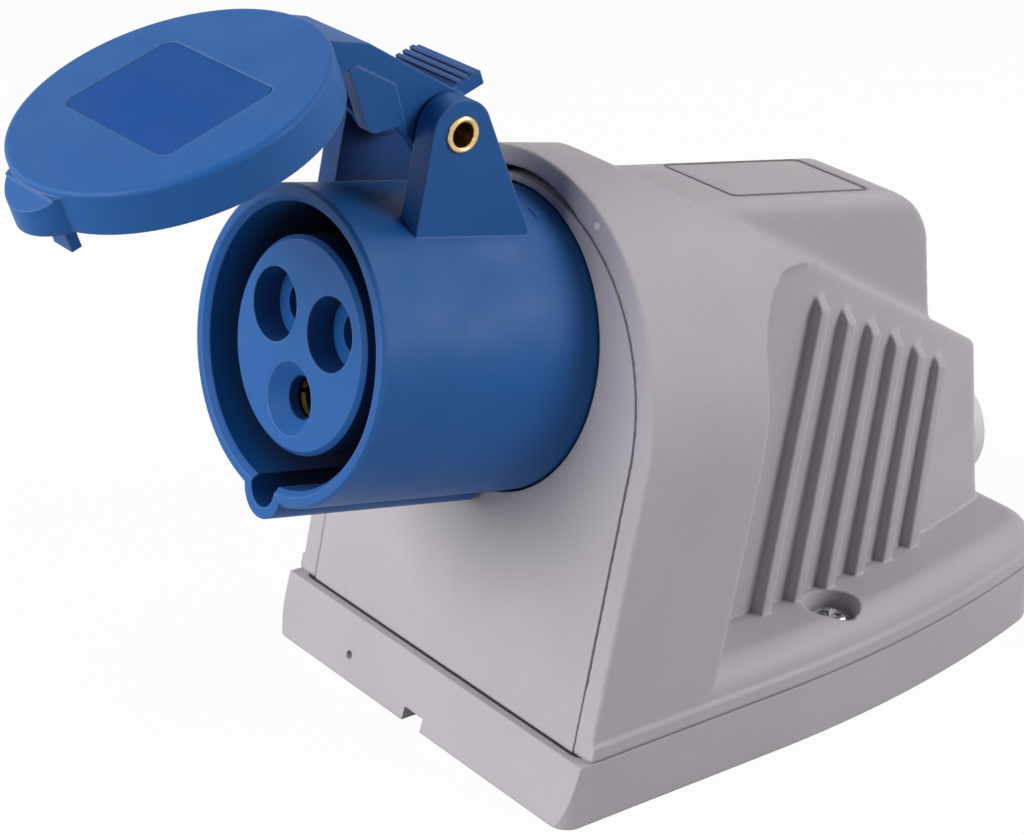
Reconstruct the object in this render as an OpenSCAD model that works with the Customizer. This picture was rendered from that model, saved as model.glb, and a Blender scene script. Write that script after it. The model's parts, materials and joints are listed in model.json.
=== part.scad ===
// Wall-mounted industrial socket with a round shrouded outlet, a hinged lid and a grey two-part housing.
// Millimetres, +Z out of the wall. The origin is the centre of the wall-screw pattern on the back plane.
// The outlet points to -Y and leans up by axis_tilt. The cable comes in at the +Y end.

/* [Base tray] */
// Width of the base tray
base_w = 87; // [84:0.5:94]
// Length of the base tray
base_l = 127; // [124:0.5:134]
// Height of the base tray's rim above the wall
base_h = 11.4; // [10:0.2:14]
// Wall thickness of the base tray
base_wall = 3.2; // [2.8:0.1:3.6]
// Floor thickness of the base tray
base_floor = 3; // [2:0.1:4]
// Length of the straight front part of each side
base_straight = 48; // [40:1:56]
// Radius of the bowed rear part of each side
base_side_r = 270; // [240:5:320]
// Corner radius at the cable end
base_rear_r = 10; // [8:0.5:14]
// Corner radius at the outlet end
base_front_r = 3.5; // [3.4:0.1:6]
// Backward rake of the tray's front wall in degrees
front_rake = 17; // [10:1:20]
// Spacing of the wall screws across the base
wall_screw_x = 60; // [50:1:64]
// Spacing of the wall screws along the base
wall_screw_y = 84; // [70:1:90]
// Diameter of the wall-screw holes
wall_screw_d = 5.5; // [4:0.1:6.5]

/* [Outlet axis] */
// Upward lean of the outlet axis in degrees
axis_tilt = 10.5; // [8:0.5:13]
// Height of the outlet axis where it meets the front panel
axis_h = 71.2; // [69:0.2:73]
// Distance from the tray's front edge to that point, along the base
axis_set = 16.7; // [16:0.1:18]

/* [Hood] */
// Width of the hood's rim around the front panel
rim_w = 4.6; // [3.6:0.1:5.6]
// Wall thickness of the hood
hood_wall = 2.6; // [2:0.1:3]
// Depth of the wide front part of the hood, behind the panel
flank_l = 26; // [24:0.5:29]
// Height of the side ledge above the wall
ledge_z = 20; // [19:0.2:22]
// Width of the side ledge
ledge_w = 14.2; // [13.5:0.1:15.5]
// Radius of the ledge's outer edge
ledge_r = 5; // [3:0.2:6]
// Height of the plain lip at the hood's foot
lip_h = 3; // [2:0.1:4]
// Step from the lip in to the hood's side
lip_step = 0.6; // [0.3:0.1:1]
// Distance from the tray's rear edge to the hood's rear wall
rear_set = 4.6; // [4:0.1:7]
// Forward lean of the rear wall in degrees
rear_lean = 8.4; // [5:0.2:10]
// Corner radius of the rear wall
rear_corner_r = 3.5; // [2.5:0.1:6]
// Downward slope of the roof in degrees
roof_slope = 30; // [28:0.5:32]
// Height of the roof plane above the foot of the rear wall
roof_rear_h = 50.2; // [48:0.2:53]
// Width of the raised wiring box on the roof
crest_w = 25.6; // [22:0.2:30]
// Height of the box's top above the outlet axis, at the panel
crest_u = 26.4; // [25:0.2:28]
// Downward slope of the box's top in degrees
crest_tilt = 9; // [7:0.5:10]
// Distance from the tray's rear edge to the back of the box
crest_set = 11.8; // [10:0.1:16]
// Radius of the box's long edges
crest_edge = 3; // [1:0.2:4]
// Radius of the box's rear top edge
crest_r = 15; // [10:0.5:18]
// Radius of the hollow corner where the wide front part runs into the roof
flank_corner_r = 14; // [8:0.5:16]
// Width and depth of the groove around the plate on the box's top
plate_groove = 0.5; // [0.3:0.1:0.8]
// Length of the plate on the box's top
plate_l = 34; // [28:1:36]
// Height of the shadow gap between the hood and the base tray
seam = 0.4; // [0.2:0.1:0.8]
// Number of fins on each side
fin_count = 6; // [4:1:6]
// Spacing of the fins along the base
fin_pitch = 8.2; // [7:0.1:8.5]
// Thickness of each fin
fin_t = 2.3; // [1.6:0.1:3]
// Depth of each fin
fin_depth = 2.6; // [1.5:0.1:3.5]
// Distance from the tray's front edge to the first fin, at the ledge
fin_start = 54.5; // [52:0.5:57]

/* [Cover screws] */
// Distance of each cover screw from the side of the base
cover_screw_in = 8.4; // [8:0.1:9.5]
// Place of the cover screws along the base
cover_screw_y = 3.7; // [-2:0.1:8]
// Diameter of the cover screw's shank
cover_screw_d = 3.9; // [3:0.1:4.2]
// Diameter of the screw head
cover_head_d = 7.4; // [6:0.1:8]
// Diameter of the recess for the head
cover_recess_d = 10.2; // [9:0.1:11]
// Depth of the recess for the head
cover_recess = 4.6; // [3.5:0.1:5]

/* [Front panel] */
// Width of the panel's strip above the outlet shell
panel_strip = 1.1; // [0.8:0.1:1.6]
// Distance of the panel screws inside the panel's edge
panel_screw_in = 6.8; // [6:0.1:8]
// Thickness of the front panel
panel_t = 3; // [2.5:0.1:4]
// Gap between the panel's edge and the hood
panel_gap = 0.25; // [0.15:0.05:0.4]
// Width of the hood's rim that the panel seats on
panel_seat = 2.3; // [1.5:0.1:3]

/* [Outlet shell] */
// Outer radius of the outlet shell
shell_r = 26.4; // [26:0.1:26.8]
// Wall thickness of the outlet shell
shell_wall = 2.9; // [2.5:0.1:3.2]
// Reach of the shell in front of the panel
shell_l = 43.9; // [40:0.1:48]
// Reach of the shell behind the panel
shell_back = 20; // [16:0.5:22]
// Thickness of the web that carries the contacts
web_t = 4; // [3:0.1:5]
// Gap between the shell and the panel's bore
shell_gap = 0.4; // [0.3:0.05:0.6]
// Width of the shell's bayonet flange
flange_w = 2.1; // [1.8:0.1:2.4]
// Thickness of the bayonet flange
flange_t = 2.5; // [2:0.1:3]
// Turn that releases the shell from the panel in degrees
twist = 40; // [30:1:45]
// Radius of the keyway's groove
key_r = 3.3; // [2.5:0.1:4]
// Wall thickness around the keyway
key_wall = 1.9; // [1.5:0.1:2.5]
// Distance of the keyway's centre inside the shell's outside
key_in = 1.9; // [1:0.1:2.5]

/* [Hinge] */
// Height of the hinge pin above the shell's outside
pin_rise = 12.9; // [12:0.1:15]
// Distance of the hinge pin behind the shell's rim
pin_set = 17.3; // [16:0.1:19]
// Outer diameter of the hollow hinge pin
pin_d = 5.4; // [4.5:0.1:6]
// Bore of the hollow hinge pin
pin_bore = 4; // [3:0.1:4.2]
// Half distance over the outer faces of the ears
ear_x = 14; // [13:0.1:15]
// Thickness of each ear
ear_t = 4.7; // [4:0.1:5]
// Radius of the rounded ear tops
ear_r = 5.7; // [5.2:0.1:6.5]
// Length of the ears' foot on the shell
ear_foot = 22.8; // [20:0.2:26]
// Width of the pin's rolled heads beyond its tube
pin_head_w = 0.4; // [0.2:0.1:0.8]
// Thickness of the pin's rolled heads
pin_head_t = 0.5; // [0.3:0.1:0.8]
// Running clearance of the lid on the pin
pin_fit = 0.05; // [0.03:0.01:0.08]

/* [Lid] */
// Angle at which the lid stands open, in degrees
lid_open = 60; // [0:1:90]
// Distance of the lid's edge inside the shell's outside
lid_in = 0.4; // [0:0.1:0.8]
// Height of the lid
lid_h = 7.2; // [6.5:0.1:9]
// Thickness of the lid's top
lid_top = 2.4; // [2:0.1:3]
// Wall thickness of the lid's skirt
lid_wall = 1.9; // [1.5:0.1:2.4]
// Radius of the lid's top edge
lid_edge = 0.9; // [0.4:0.1:1.6]
// Gap between the closed lid and the shell's rim
lid_gap = 0.3; // [0.2:0.05:0.5]
// Width of the label field
label_w = 30; // [20:0.5:32]
// Height of the label field
label_h = 21; // [16:0.5:26]
// Depth of the label field
label_depth = 0.3; // [0.2:0.1:0.6]
// Thickness of the lid arm's side webs
arm_t = 2.6; // [2:0.1:3]
// Step from the arm's side to its thicker tongue
arm_step = 0.35; // [0.2:0.05:0.6]
// Clearance between the arm's tongue and the shell
tongue_gap = 0.45; // [0.35:0.05:0.8]
// Clearance between the lid's arm and the ears
arm_gap = 0.35; // [0.3:0.05:0.5]
// Radius of the arm around the pin
knuckle_r = 6; // [5.4:0.1:6.4]
// Thickness of the arm's top plate
arm_plate = 2.2; // [1.8:0.1:2.6]
// Reach of the thumb tab above the arm
tab_l = 5.4; // [4:0.1:6]
// Thickness of the thumb tab
tab_t = 2.4; // [2:0.1:3]
// Number of ribs on the thumb tab
tab_ribs = 3; // [2:1:4]
// Radius of the rounded nose at the lid's front
nose_r = 8.8; // [7:0.1:10]
// Reach of the nose beyond the lid's edge
nose_reach = 3.4; // [2.4:0.1:4]
// Width of the prong that enters the keyway
prong_w = 5.4; // [4:0.1:5.8]
// Thickness of the prong
prong_t = 1.5; // [1.2:0.1:2]
// Reach of the prong below the lid's rim
prong_l = 5.8; // [3:0.1:7]

/* [Contacts] */
// Radius of the contact carrier
carrier_r = 18; // [17:0.1:18.5]
// Depth of the carrier's face below the shell's rim
carrier_set = 2.4; // [1.5:0.1:4]
// Radius of the circle on which the contacts stand
contact_ring = 9.1; // [8.9:0.1:9.3]
// Bore of the line and neutral contacts
contact_bore = 5.1; // [4.9:0.1:5.2]
// Bore of the earth contact
earth_bore = 6.1; // [5.9:0.1:6.2]
// Wall thickness of the contact sleeves
sleeve_wall = 1.05; // [0.9:0.05:1.1]
// Diameter of the contacts' terminal ends
terminal_d = 7.8; // [7.4:0.1:8]
// Length of the terminal ends behind the retainer
terminal_l = 18; // [14:0.5:20]
// Clearance of the contacts in the carrier and the retainer
contact_fit = 0.2; // [0.15:0.05:0.25]

/* [Cable gland] */
// Height of the cable entry above the wall
gland_z = 27; // [26:0.2:32]
// Bore of the cable entry
gland_bore = 11; // [8:0.5:12]
// Outer diameter of the gland's thread
gland_thread_d = 18; // [17.5:0.5:19]
// Outer radius of the gland's flange and nut
gland_nut_r = 11; // [10.8:0.1:11.2]
// Distance from the tray's rear edge in to the gland's seat
gland_set = 2; // [1.6:0.1:3]
// Thickness of the gland's flange
gland_flange = 2.2; // [1.8:0.1:3]
// Length of the gland nut
gland_nut_l = 4.6; // [4.2:0.1:9]
// Thickness of the nut's end wall
gland_lip = 1.8; // [1.4:0.1:2.2]

/* [Hidden] */
$fn = 96;

grey = [0.71, 0.69, 0.71];
blue = [0.19, 0.36, 0.64];
brass = [0.80, 0.66, 0.36];
steel = [0.72, 0.72, 0.74];
rubber = [0.12, 0.12, 0.13];
nylon = [0.90, 0.90, 0.90];

far = 200;
seat = 0.02;
hair = 0.12;
half_w = base_w/2;
front_y = -base_l/2;
rear_y = base_l/2;
bow_y = front_y + base_straight;
rake_y = base_h*tan(front_rake);
axis_y = front_y + axis_set;
rear_wall_y = rear_y - rear_set;
leg_l = axis_h + 20;
fin_point = 7.4;
fin_edge = 2.4;
crest_start = 12;
plate_start = 40;
arch_r = half_w - lip_step;
panel_r = arch_r - rim_w;
arch_drop = panel_r - shell_r - shell_gap - panel_strip;
flange_r = shell_r + flange_w;
key_set = shell_r - key_in;
pin_u = shell_r + pin_rise;
pin_n = shell_l - pin_set;
lid_r = shell_r - lid_in;
cover_screw_x = half_w - cover_screw_in;

// The outlet's own frame: x across, y up the panel, z out along the outlet axis.
module outlet_frame() {
    translate([0, axis_y, axis_h]) rotate([90 - axis_tilt, 0, 0]) children();
}

// The lid's frame: the outlet's frame, swung open about the hinge pin.
module lid_frame() {
    outlet_frame() translate([0, pin_u, pin_n]) rotate([-lid_open, 0, 0])
        translate([0, -pin_u, -pin_n]) children();
}

module both_sides() {
    children();
    mirror([1, 0, 0]) children();
}

// Rear corner of the base outline: the arc that joins the bowed side to the straight end.
function bow_x() = half_w - base_side_r;
function corner_y(rear, r) = rear_y - rear - r;
function corner_x(inset, rear, r) =
    bow_x() + sqrt(pow(base_side_r - inset - r, 2) - pow(corner_y(rear, r) - bow_y, 2));
function corner_turn(inset, rear, r) =
    atan2(corner_y(rear, r) - bow_y, corner_x(inset, rear, r) - bow_x());

// Half of the base outline, moved inwards: straight in front, bowed further back, round at both corners.
module half_outline(inset, front, rear, r_front, r_rear) {
    y0 = front_y + front;
    y1 = rear_y - rear;
    x0 = half_w - inset;
    turn = corner_turn(inset, rear, r_rear);
    front_c = [x0 - r_front, y0 + r_front];
    rear_c = [corner_x(inset, rear, r_rear), corner_y(rear, r_rear)];
    bow_start = [x0, bow_y];
    bow_end = rear_c + r_rear*[cos(turn), sin(turn)];
    polygon([[0, y0], [front_c[0], y0], front_c, [x0, front_c[1]], bow_start, bow_end,
        [rear_c[0], y1], [0, y1]]);
    intersection() {
        translate(front_c) circle(r_front);
        translate(front_c - [0, 2*r_front]) square(2*r_front);
    }
    intersection() {
        translate([bow_x(), bow_y]) circle(base_side_r - inset, $fn = 720);
        polygon([bow_start, bow_start + [20, 0], bow_end + [20, 0], bow_end]);
    }
    intersection() {
        translate(rear_c) circle(r_rear);
        polygon([rear_c, rear_c + 2*r_rear*[cos(turn), sin(turn)], rear_c + 2*r_rear*[1, 1],
            rear_c + [0, 2*r_rear]]);
    }
}

// The same outline with its bowed sides and round corners cut straight, for the space inside the foot.
module straight_outline(inset) {
    rear_c = [corner_x(inset, inset, base_rear_r - inset), corner_y(inset, base_rear_r - inset)];
    both_sides() polygon([[0, front_y], [half_w - inset, front_y], [half_w - inset, bow_y],
        rear_c + [base_rear_r - inset, 0]*0.9, [rear_c[0], rear_y - inset], [0, rear_y - inset]]);
}

module outline(inset = 0, front = 0, rear = 0, r_front = base_front_r, r_rear = base_rear_r) {
    both_sides() half_outline(inset, front, rear, r_front, r_rear);
}

// The outline of the tray's rim, moved inwards, behind its raked front wall.
module tray_outline(inset) {
    outline(inset, rake_y + inset, inset, base_front_r, base_rear_r - inset);
}

// The arch of the hood and the panel, drawn in the panel's plane.
module arch(r) {
    translate([0, -arch_drop]) circle(r);
    translate([-r, -arch_drop - leg_l]) square([2*r, leg_l]);
}

module arch_bar(r, back, front) {
    outlet_frame() translate([0, 0, back]) linear_extrude(front - back) arch(r);
}

module above(z) {
    translate([-far, -far, z]) cube([2*far, 2*far, far]);
}

module behind_panel(depth) {
    outlet_frame() translate([-far, -far, -depth - 2*far]) cube([2*far, 2*far, 2*far]);
}

module below_roof(drop) {
    translate([0, rear_wall_y, roof_rear_h]) rotate([-roof_slope, 0, 0])
        translate([-far, -far, -far - drop]) cube([2*far, 2*far, far]);
}

// The narrow rear part of the hood leans forward as a whole, so that its corners stay round.
module rear_prism(inset, height = far) {
    translate([0, rear_wall_y, ledge_z]) rotate([rear_lean, 0, 0]) translate([0, -rear_wall_y, -ledge_z])
        linear_extrude(height)
        outline(inset, base_straight - 20, rear_set + inset - ledge_w, base_front_r, rear_corner_r);
}

module along_x(x0, x1) {
    translate([x0, 0, 0]) rotate([90, 0, 90]) linear_extrude(x1 - x0) children();
}

// Side view of the wide front part, in the outlet's frame: its back turns into the roof in a hollow corner.
module flank_profile() {
    r = flank_corner_r;
    u = panel_r - arch_drop - 7;
    difference() {
        polygon([[-far, 0], [-far, -flank_l], [u - r, -flank_l], [u - r, -flank_l - r], [u, -flank_l - r],
            [u, -flank_l - 2*r], [far, -flank_l - 2*r], [far, 0]]);
        translate([u - r, -flank_l - r]) circle(r);
    }
}

module wide_body() {
    intersection() {
        outlet_frame() along_x(-far, far) flank_profile();
        below_roof(0);
        above(base_h);
        arch_bar(arch_r, -flank_l - 2*flank_corner_r, 0);
    }
}

// Hollow of the wide front part, between two planes parallel to the panel.
module wide_part(r, back, front, drop, foot) {
    intersection() {
        arch_bar(r, back, front);
        below_roof(drop);
        above(foot);
    }
}

// Narrow rear part of the hood, under the same roof and arch.
module narrow_part(inset, r, drop, foot) {
    intersection() {
        rear_prism(inset);
        below_roof(drop);
        above(foot);
        arch_bar(r, -far, -flank_l/2);
    }
}

// Half width of the leaning rear part at a place along the base and a height above the ledge.
function wall_x(y, h) =
    let (run = rear_wall_y + (y - rear_wall_y)*cos(rear_lean) + h*sin(rear_lean) - bow_y)
    bow_x() + sqrt(pow(base_side_r - ledge_w, 2) - run*run);

// Fins on both sides of the rear part. They lean with the panel and run out in a point at the roof's edge.
module fin(y) {
    slope = tan(roof_slope);
    top = (roof_rear_h - ledge_z + (rear_wall_y - y)*slope)/(cos(axis_tilt) + sin(axis_tilt)*slope);
    foot_x = wall_x(y, 0);
    top_x = wall_x(y + top*sin(axis_tilt), top*cos(axis_tilt));
    in = hood_wall/2;
    translate([0, y, ledge_z]) rotate([90 - axis_tilt, 0, 0])
        translate([0, 0, -fin_t/2]) linear_extrude(fin_t)
        polygon([[foot_x - in, -1], [foot_x + fin_depth, -1], [top_x + fin_depth, top - fin_point],
            [top_x - fin_edge, top - fin_edge], [top_x - in, top - fin_point]]);
}

module fins() {
    both_sides() for (i = [0:fin_count - 1]) fin(front_y + fin_start + i*fin_pitch);
}

// Frame of the raised wiring box: the outlet's point, with the slope of the box's top.
module crest_frame() {
    translate([0, axis_y, axis_h]) rotate([90 - crest_tilt, 0, 0]) children();
}

// Side view of the box: its back leans with the rear wall.
module crest_profile(inset) {
    intersection() {
        translate([axis_y, axis_h]) rotate(-crest_tilt)
            translate([0, crest_u - inset - far]) square([far, far]);
        translate([rear_y - crest_set - inset, ledge_z]) rotate(rear_lean)
            translate([-far, -far]) square([far, 2*far]);
    }
}

module rounded_crest(inset) {
    r = crest_r - inset;
    turn = 90 - crest_tilt - rear_lean;
    top_u = crest_u - inset;
    back_y = rear_y - crest_set - inset;
    lean = [-sin(rear_lean), cos(rear_lean)];
    run = [cos(crest_tilt), -sin(crest_tilt)];
    top = [axis_y, axis_h] + top_u*[sin(crest_tilt), cos(crest_tilt)];
    back = [back_y, ledge_z];
    k = cross(back - top, lean)/cross(run, lean);
    corner = top + k*run;
    reach = r*tan(turn/2);
    tip = corner - reach*run;
    middle = tip - r*[sin(crest_tilt), cos(crest_tilt)];
    difference() {
        crest_profile(inset);
        difference() {
            polygon([corner + [1, 1], tip, middle, corner - reach*lean]);
            translate(middle) circle(r + hair);
        }
    }
}

// The box seen along its top, with rounded long edges.
module crest_section() {
    w = crest_w/2 - crest_edge;
    h = crest_u - crest_edge;
    translate([-crest_w/2, h - far]) square([crest_w, far]);
    translate([-w, h - far]) square([2*w, far + crest_edge]);
    for (x = [-w, w]) translate([x, h]) circle(crest_edge);
}

module crest_body() {
    intersection() {
        along_x(-crest_w, crest_w) rounded_crest(-hair);
        behind_panel(crest_start);
        above(ledge_z);
        crest_frame() translate([0, 0, -far]) linear_extrude(far) crest_section();
    }
}

module crest_hollow() {
    inset = hood_wall;
    intersection() {
        along_x(inset - crest_w/2, crest_w/2 - inset) rounded_crest(inset);
        behind_panel(crest_start);
        above(ledge_z);
    }
}

// Outline groove of the plate on the box's top.
module plate_ring() {
    w = crest_w/2 - crest_edge;
    translate([0, crest_u - plate_groove, 0]) rotate([-90, 0, 0]) linear_extrude(1) difference() {
        translate([-w, plate_start]) square([2*w, plate_l]);
        translate([plate_groove - w, plate_start + plate_groove])
            square([2*(w - plate_groove), plate_l - 2*plate_groove]);
    }
}

// The ledge round the hood's foot, with a rounded outer edge that follows the base outline.
// Its section lies left of the outline and reaches inwards by the given depth.
module ledge_section(depth, drop = 0) {
    h = ledge_z - base_h - drop;
    corner = [-lip_step - ledge_r, h - ledge_r];
    translate([-depth, 0]) square([depth - lip_step, h - ledge_r]);
    translate([-depth, 0]) square([depth - lip_step - ledge_r, h]);
    intersection() {
        translate(corner) circle(ledge_r);
        translate(corner) square(2*ledge_r);
    }
}

// The straight parts and the corner lie a hair inside the bowed part, so that they meet in a clean step.
module half_ledge() {
    turn = corner_turn(0, 0, base_rear_r);
    cx = corner_x(0, 0, base_rear_r);
    depth = base_rear_r - 1;
    translate([half_w - hair, bow_y + 2, 0]) rotate([90, 0, 0]) linear_extrude(base_straight + 2)
        ledge_section(depth, hair);
    translate([bow_x(), bow_y, 0]) rotate_extrude(angle = turn, $fn = 720) translate([base_side_r, 0])
        ledge_section(depth);
    translate([cx, corner_y(0, base_rear_r), 0]) rotate_extrude() translate([base_rear_r - hair, 0])
        ledge_section(depth - 1, hair);
    translate([-1, rear_y, 0]) rotate([90, 0, 90]) linear_extrude(cx + 1) ledge_section(depth);
}

module ledge() {
    core = base_rear_r - 3;
    intersection() {
        translate([0, 0, base_h]) union() {
            both_sides() half_ledge();
            linear_extrude(ledge_z - base_h - 2*hair)
                outline(core, 0, core, base_front_r, base_rear_r - core);
            translate([0, 0, seam]) linear_extrude(lip_h - seam) outline();
        }
        behind_panel(0);
    }
}

// Everything that is hollow inside the hood.
module hood_cavity() {
    wide_part(arch_r - hood_wall, hood_wall - flank_l, -panel_t - panel_seat, hood_wall, 0);
    narrow_part(ledge_w + hood_wall, arch_r - hood_wall, hood_wall, 0);
    crest_hollow();
    intersection() {
        translate([0, 0, -1]) linear_extrude(ledge_z - hood_wall + 1)
            straight_outline(lip_step + hood_wall + 0.3);
        behind_panel(panel_t + panel_seat);
    }
}

module gland_axis(y) {
    translate([0, y, gland_z]) rotate([-90, 0, 0]) children();
}

gland_seat_y = rear_y - gland_set;
gland_wall = 8.6;

panel_screw_at = [[panel_r - panel_screw_in, -18], [panel_r - panel_screw_in, -48]];
panel_screw_d = 2.8;
panel_boss_l = 4;
lug_n = -panel_t - panel_boss_l;
lug_t = 2.4;

// Lugs inside the hood's flanks, to which the panel is screwed from behind.
module panel_lugs() {
    outlet_frame() both_sides() for (p = panel_screw_at) difference() {
        translate([p[0] - 4, p[1] - 4.5, lug_n - lug_t]) cube([arch_r - hood_wall/2 - p[0] + 4, 9, lug_t]);
        translate([p[0], p[1], lug_n - lug_t - 1])
            cylinder(d = panel_screw_d + 0.5, h = lug_t + 2, $fn = 32);
    }
}

module hood() {
    color(grey) difference() {
        union() {
            difference() {
                union() {
                    wide_body();
                    narrow_part(ledge_w, arch_r, 0, base_h);
                    fins();
                    crest_body();
                    ledge();
                }
                hood_cavity();
            }
            both_sides() translate([cover_screw_x, cover_screw_y, base_h])
                cylinder(d = cover_recess_d + 3.4, h = ledge_z - base_h);
            gland_axis(gland_seat_y - gland_wall) cylinder(r = gland_nut_r, h = gland_wall);
            panel_lugs();
        }
        // panel opening, its seat and room for the shell's flange
        arch_bar(panel_r + panel_gap, -panel_t, 1);
        arch_bar(panel_r - panel_seat, -panel_t - panel_seat - 1, 0);
        outlet_frame() translate([0, 0, -12]) cylinder(r = flange_r + 0.7, h = 12);
        // cover screws
        both_sides() translate([cover_screw_x, cover_screw_y, 0]) {
            cylinder(d = cover_screw_d + 0.5, h = ledge_z + 1);
            translate([0, 0, ledge_z - cover_recess]) cylinder(d = cover_recess_d, h = cover_recess + 1);
        }
        // cable entry
        gland_axis(gland_seat_y - gland_wall - 1) cylinder(d = gland_thread_d + 0.4, h = gland_wall + 2);
        // plate on the wiring box
        crest_frame() plate_ring();
        // room for the gland's flange and nut
        gland_axis(gland_seat_y) cylinder(r = gland_nut_r + 0.5, h = far);
    }
}

module back_box() {
    pillar_h = base_h - base_floor;
    color(grey) difference() {
        union() {
            difference() {
                linear_extrude(base_h) outline();
                translate([0, 0, base_floor]) linear_extrude(base_h) tray_outline(base_wall);
            }
            both_sides() {
                translate([cover_screw_x, cover_screw_y, base_floor - seat])
                    cylinder(d = cover_screw_d + 4, h = pillar_h + seat);
                for (s = [-1, 1]) translate([wall_screw_x/2, s*wall_screw_y/2, base_floor - seat])
                    cylinder(d = wall_screw_d + 6, h = 3);
            }
        }
        // raked front wall
        translate([0, front_y, 0]) rotate([-front_rake, 0, 0])
            translate([-far, -far, -far]) cube([2*far, far, 2*far]);
        // shelf for the seal
        translate([0, 0, base_h - seal_h]) linear_extrude(seal_h + 1) difference() {
            tray_outline(seal_in);
            tray_outline(base_wall + 1);
        }
        // wall screws and cover screws
        both_sides() {
            for (s = [-1, 1]) translate([wall_screw_x/2, s*wall_screw_y/2, -1])
                cylinder(d = wall_screw_d, h = base_h);
            translate([cover_screw_x, cover_screw_y, base_floor - 1])
                cylinder(d = cover_screw_d + 0.1, h = base_h);
        }
        // drain notch and pin hole in the front wall
        translate([-drain_w/2, front_y - 1, -1]) cube([drain_w, base_wall + rake_y + 2, drain_h + 1]);
        translate([-pin_hole_x, front_y - 1, pin_hole_z]) rotate([-90, 0, 0])
            cylinder(d = pin_hole_d, h = base_wall + rake_y + 2, $fn = 24);
    }
}

drain_w = 5.4;
drain_h = 2.4;
pin_hole_x = 21;
pin_hole_z = 4.3;
pin_hole_d = 1.6;
seal_h = 1.2;
seal_in = 1.5;
seal_fit = 0.1;

module base_seal() {
    a = seal_in + seal_fit;
    b = base_wall - seal_fit;
    color(rubber) translate([0, 0, base_h - seal_h]) linear_extrude(seal_h) difference() {
        tray_outline(a);
        tray_outline(b);
    }
}

module screw(d, l, head_d, head_h) {
    difference() {
        union() {
            translate([0, 0, -l]) cylinder(d = d, h = l + seat);
            cylinder(d = head_d, h = head_h);
        }
        for (a = [0, 90]) rotate(a) translate([-head_d*0.32, -head_d*0.07, head_h*0.45])
            cube([head_d*0.64, head_d*0.14, head_h]);
    }
}

module cover_screws() {
    color(steel) both_sides() translate([cover_screw_x, cover_screw_y, ledge_z - cover_recess])
        rotate(20) screw(cover_screw_d, ledge_z - cover_recess - base_floor - 0.5, cover_head_d, 2.6);
}

lug_half = 12;
lug_turns = [0, 180, 270];
flange_n = -panel_t - 1.5;

module ring_sector(r0, r1, half) {
    difference() {
        intersection() {
            circle(r1);
            polygon([[0, 0], 2*r1*[cos(half), -sin(half)], 2*r1*[1, 0], 2*r1*[cos(half), sin(half)]]);
        }
        circle(r0);
    }
}

// Hooks behind the panel that hold the shell's flange.
module bayonet_hooks() {
    lip_n = flange_n - flange_t - 0.35;
    for (a = lug_turns) rotate(a) {
        translate([0, 0, lip_n - 2.5]) linear_extrude(-panel_t - lip_n + 2.5 + seat)
            ring_sector(flange_r + 0.4, flange_r + 3, lug_half);
        translate([0, 0, lip_n - 2.5]) linear_extrude(2.5)
            ring_sector(shell_r + 0.6, flange_r + 1, lug_half);
    }
}

module front_panel() {
    color(grey) difference() {
        union() {
            intersection() {
                arch_bar(panel_r, -panel_t, 0);
                above(base_h);
            }
            outlet_frame() bayonet_hooks();
            outlet_frame() both_sides() for (p = panel_screw_at) translate([p[0], p[1], lug_n])
                cylinder(d = 7, h = panel_boss_l + seat);
        }
        outlet_frame() translate([0, 0, -panel_t - 1]) cylinder(r = shell_r + shell_gap, h = panel_t + 2);
        outlet_frame() both_sides() for (p = panel_screw_at) translate([p[0], p[1], lug_n - 1])
            cylinder(d = panel_screw_d + 0.1, h = panel_boss_l + 2.4, $fn = 32);
    }
}

module panel_screws() {
    color(steel) outlet_frame() both_sides() for (p = panel_screw_at) translate([p[0], p[1], lug_n - lug_t])
        mirror([0, 0, 1]) screw(panel_screw_d, lug_t + panel_boss_l + 1, 5.5, 2);
}

plug_r = shell_r - shell_wall;
web_n = 0.5;
floor_n = web_n + web_t;
spigot_r = carrier_r - 2.7;

// Ears that carry the hinge pin, as seen from the side.
module ear_profile() {
    front = pin_n + ear_r;
    translate([pin_u, pin_n]) circle(ear_r);
    polygon([[15, front], [15, front - ear_foot], [shell_r - 3, front - ear_foot],
        [pin_u + ear_r*sin(28), pin_n - ear_r*cos(28)], [pin_u, front]]);
}

module ears() {
    difference() {
        both_sides() along_x(ear_x - ear_t, ear_x) ear_profile();
        translate([0, 0, -far]) cylinder(r = shell_r - 1.2, h = 2*far);
    }
}

module socket_shell() {
    color(blue) outlet_frame() difference() {
        union() {
            rotate_extrude() polygon([[0, -shell_back], [shell_r - 1.4, -shell_back],
                [shell_r - 1.4, flange_n - flange_t - 1], [shell_r, flange_n - flange_t],
                [shell_r, shell_l - 0.6], [shell_r - 0.6, shell_l], [0, shell_l]]);
            translate([0, 0, flange_n - flange_t]) cylinder(r = flange_r, h = flange_t);
            translate([0, -key_set, 1.5]) cylinder(r = key_r + key_wall, h = shell_l - 1.5);
            ears();
        }
        // space for the plug's shroud and its keyway
        translate([0, 0, floor_n]) cylinder(r = plug_r, h = shell_l);
        translate([0, 0, shell_l - 1]) cylinder(r1 = plug_r, r2 = plug_r + 1.2, h = 1.2);
        translate([0, -key_set, floor_n]) cylinder(r = key_r, h = shell_l);
        // rear skirt and the hole for the carrier
        translate([0, 0, web_n - far]) cylinder(r = plug_r - 1, h = far);
        cylinder(r = spigot_r + contact_fit, h = floor_n + 1);
        // gaps in the flange that let it past the hooks
        translate([0, 0, flange_n - flange_t - 1]) linear_extrude(flange_t + 2)
            for (a = lug_turns) rotate(a - twist) ring_sector(shell_r + seat, flange_r + 1, lug_half + 4);
        // hinge pin
        translate([-far, pin_u, pin_n]) rotate([0, 90, 0]) cylinder(d = pin_d + 2*pin_fit, h = 2*far);
    }
}

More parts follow.
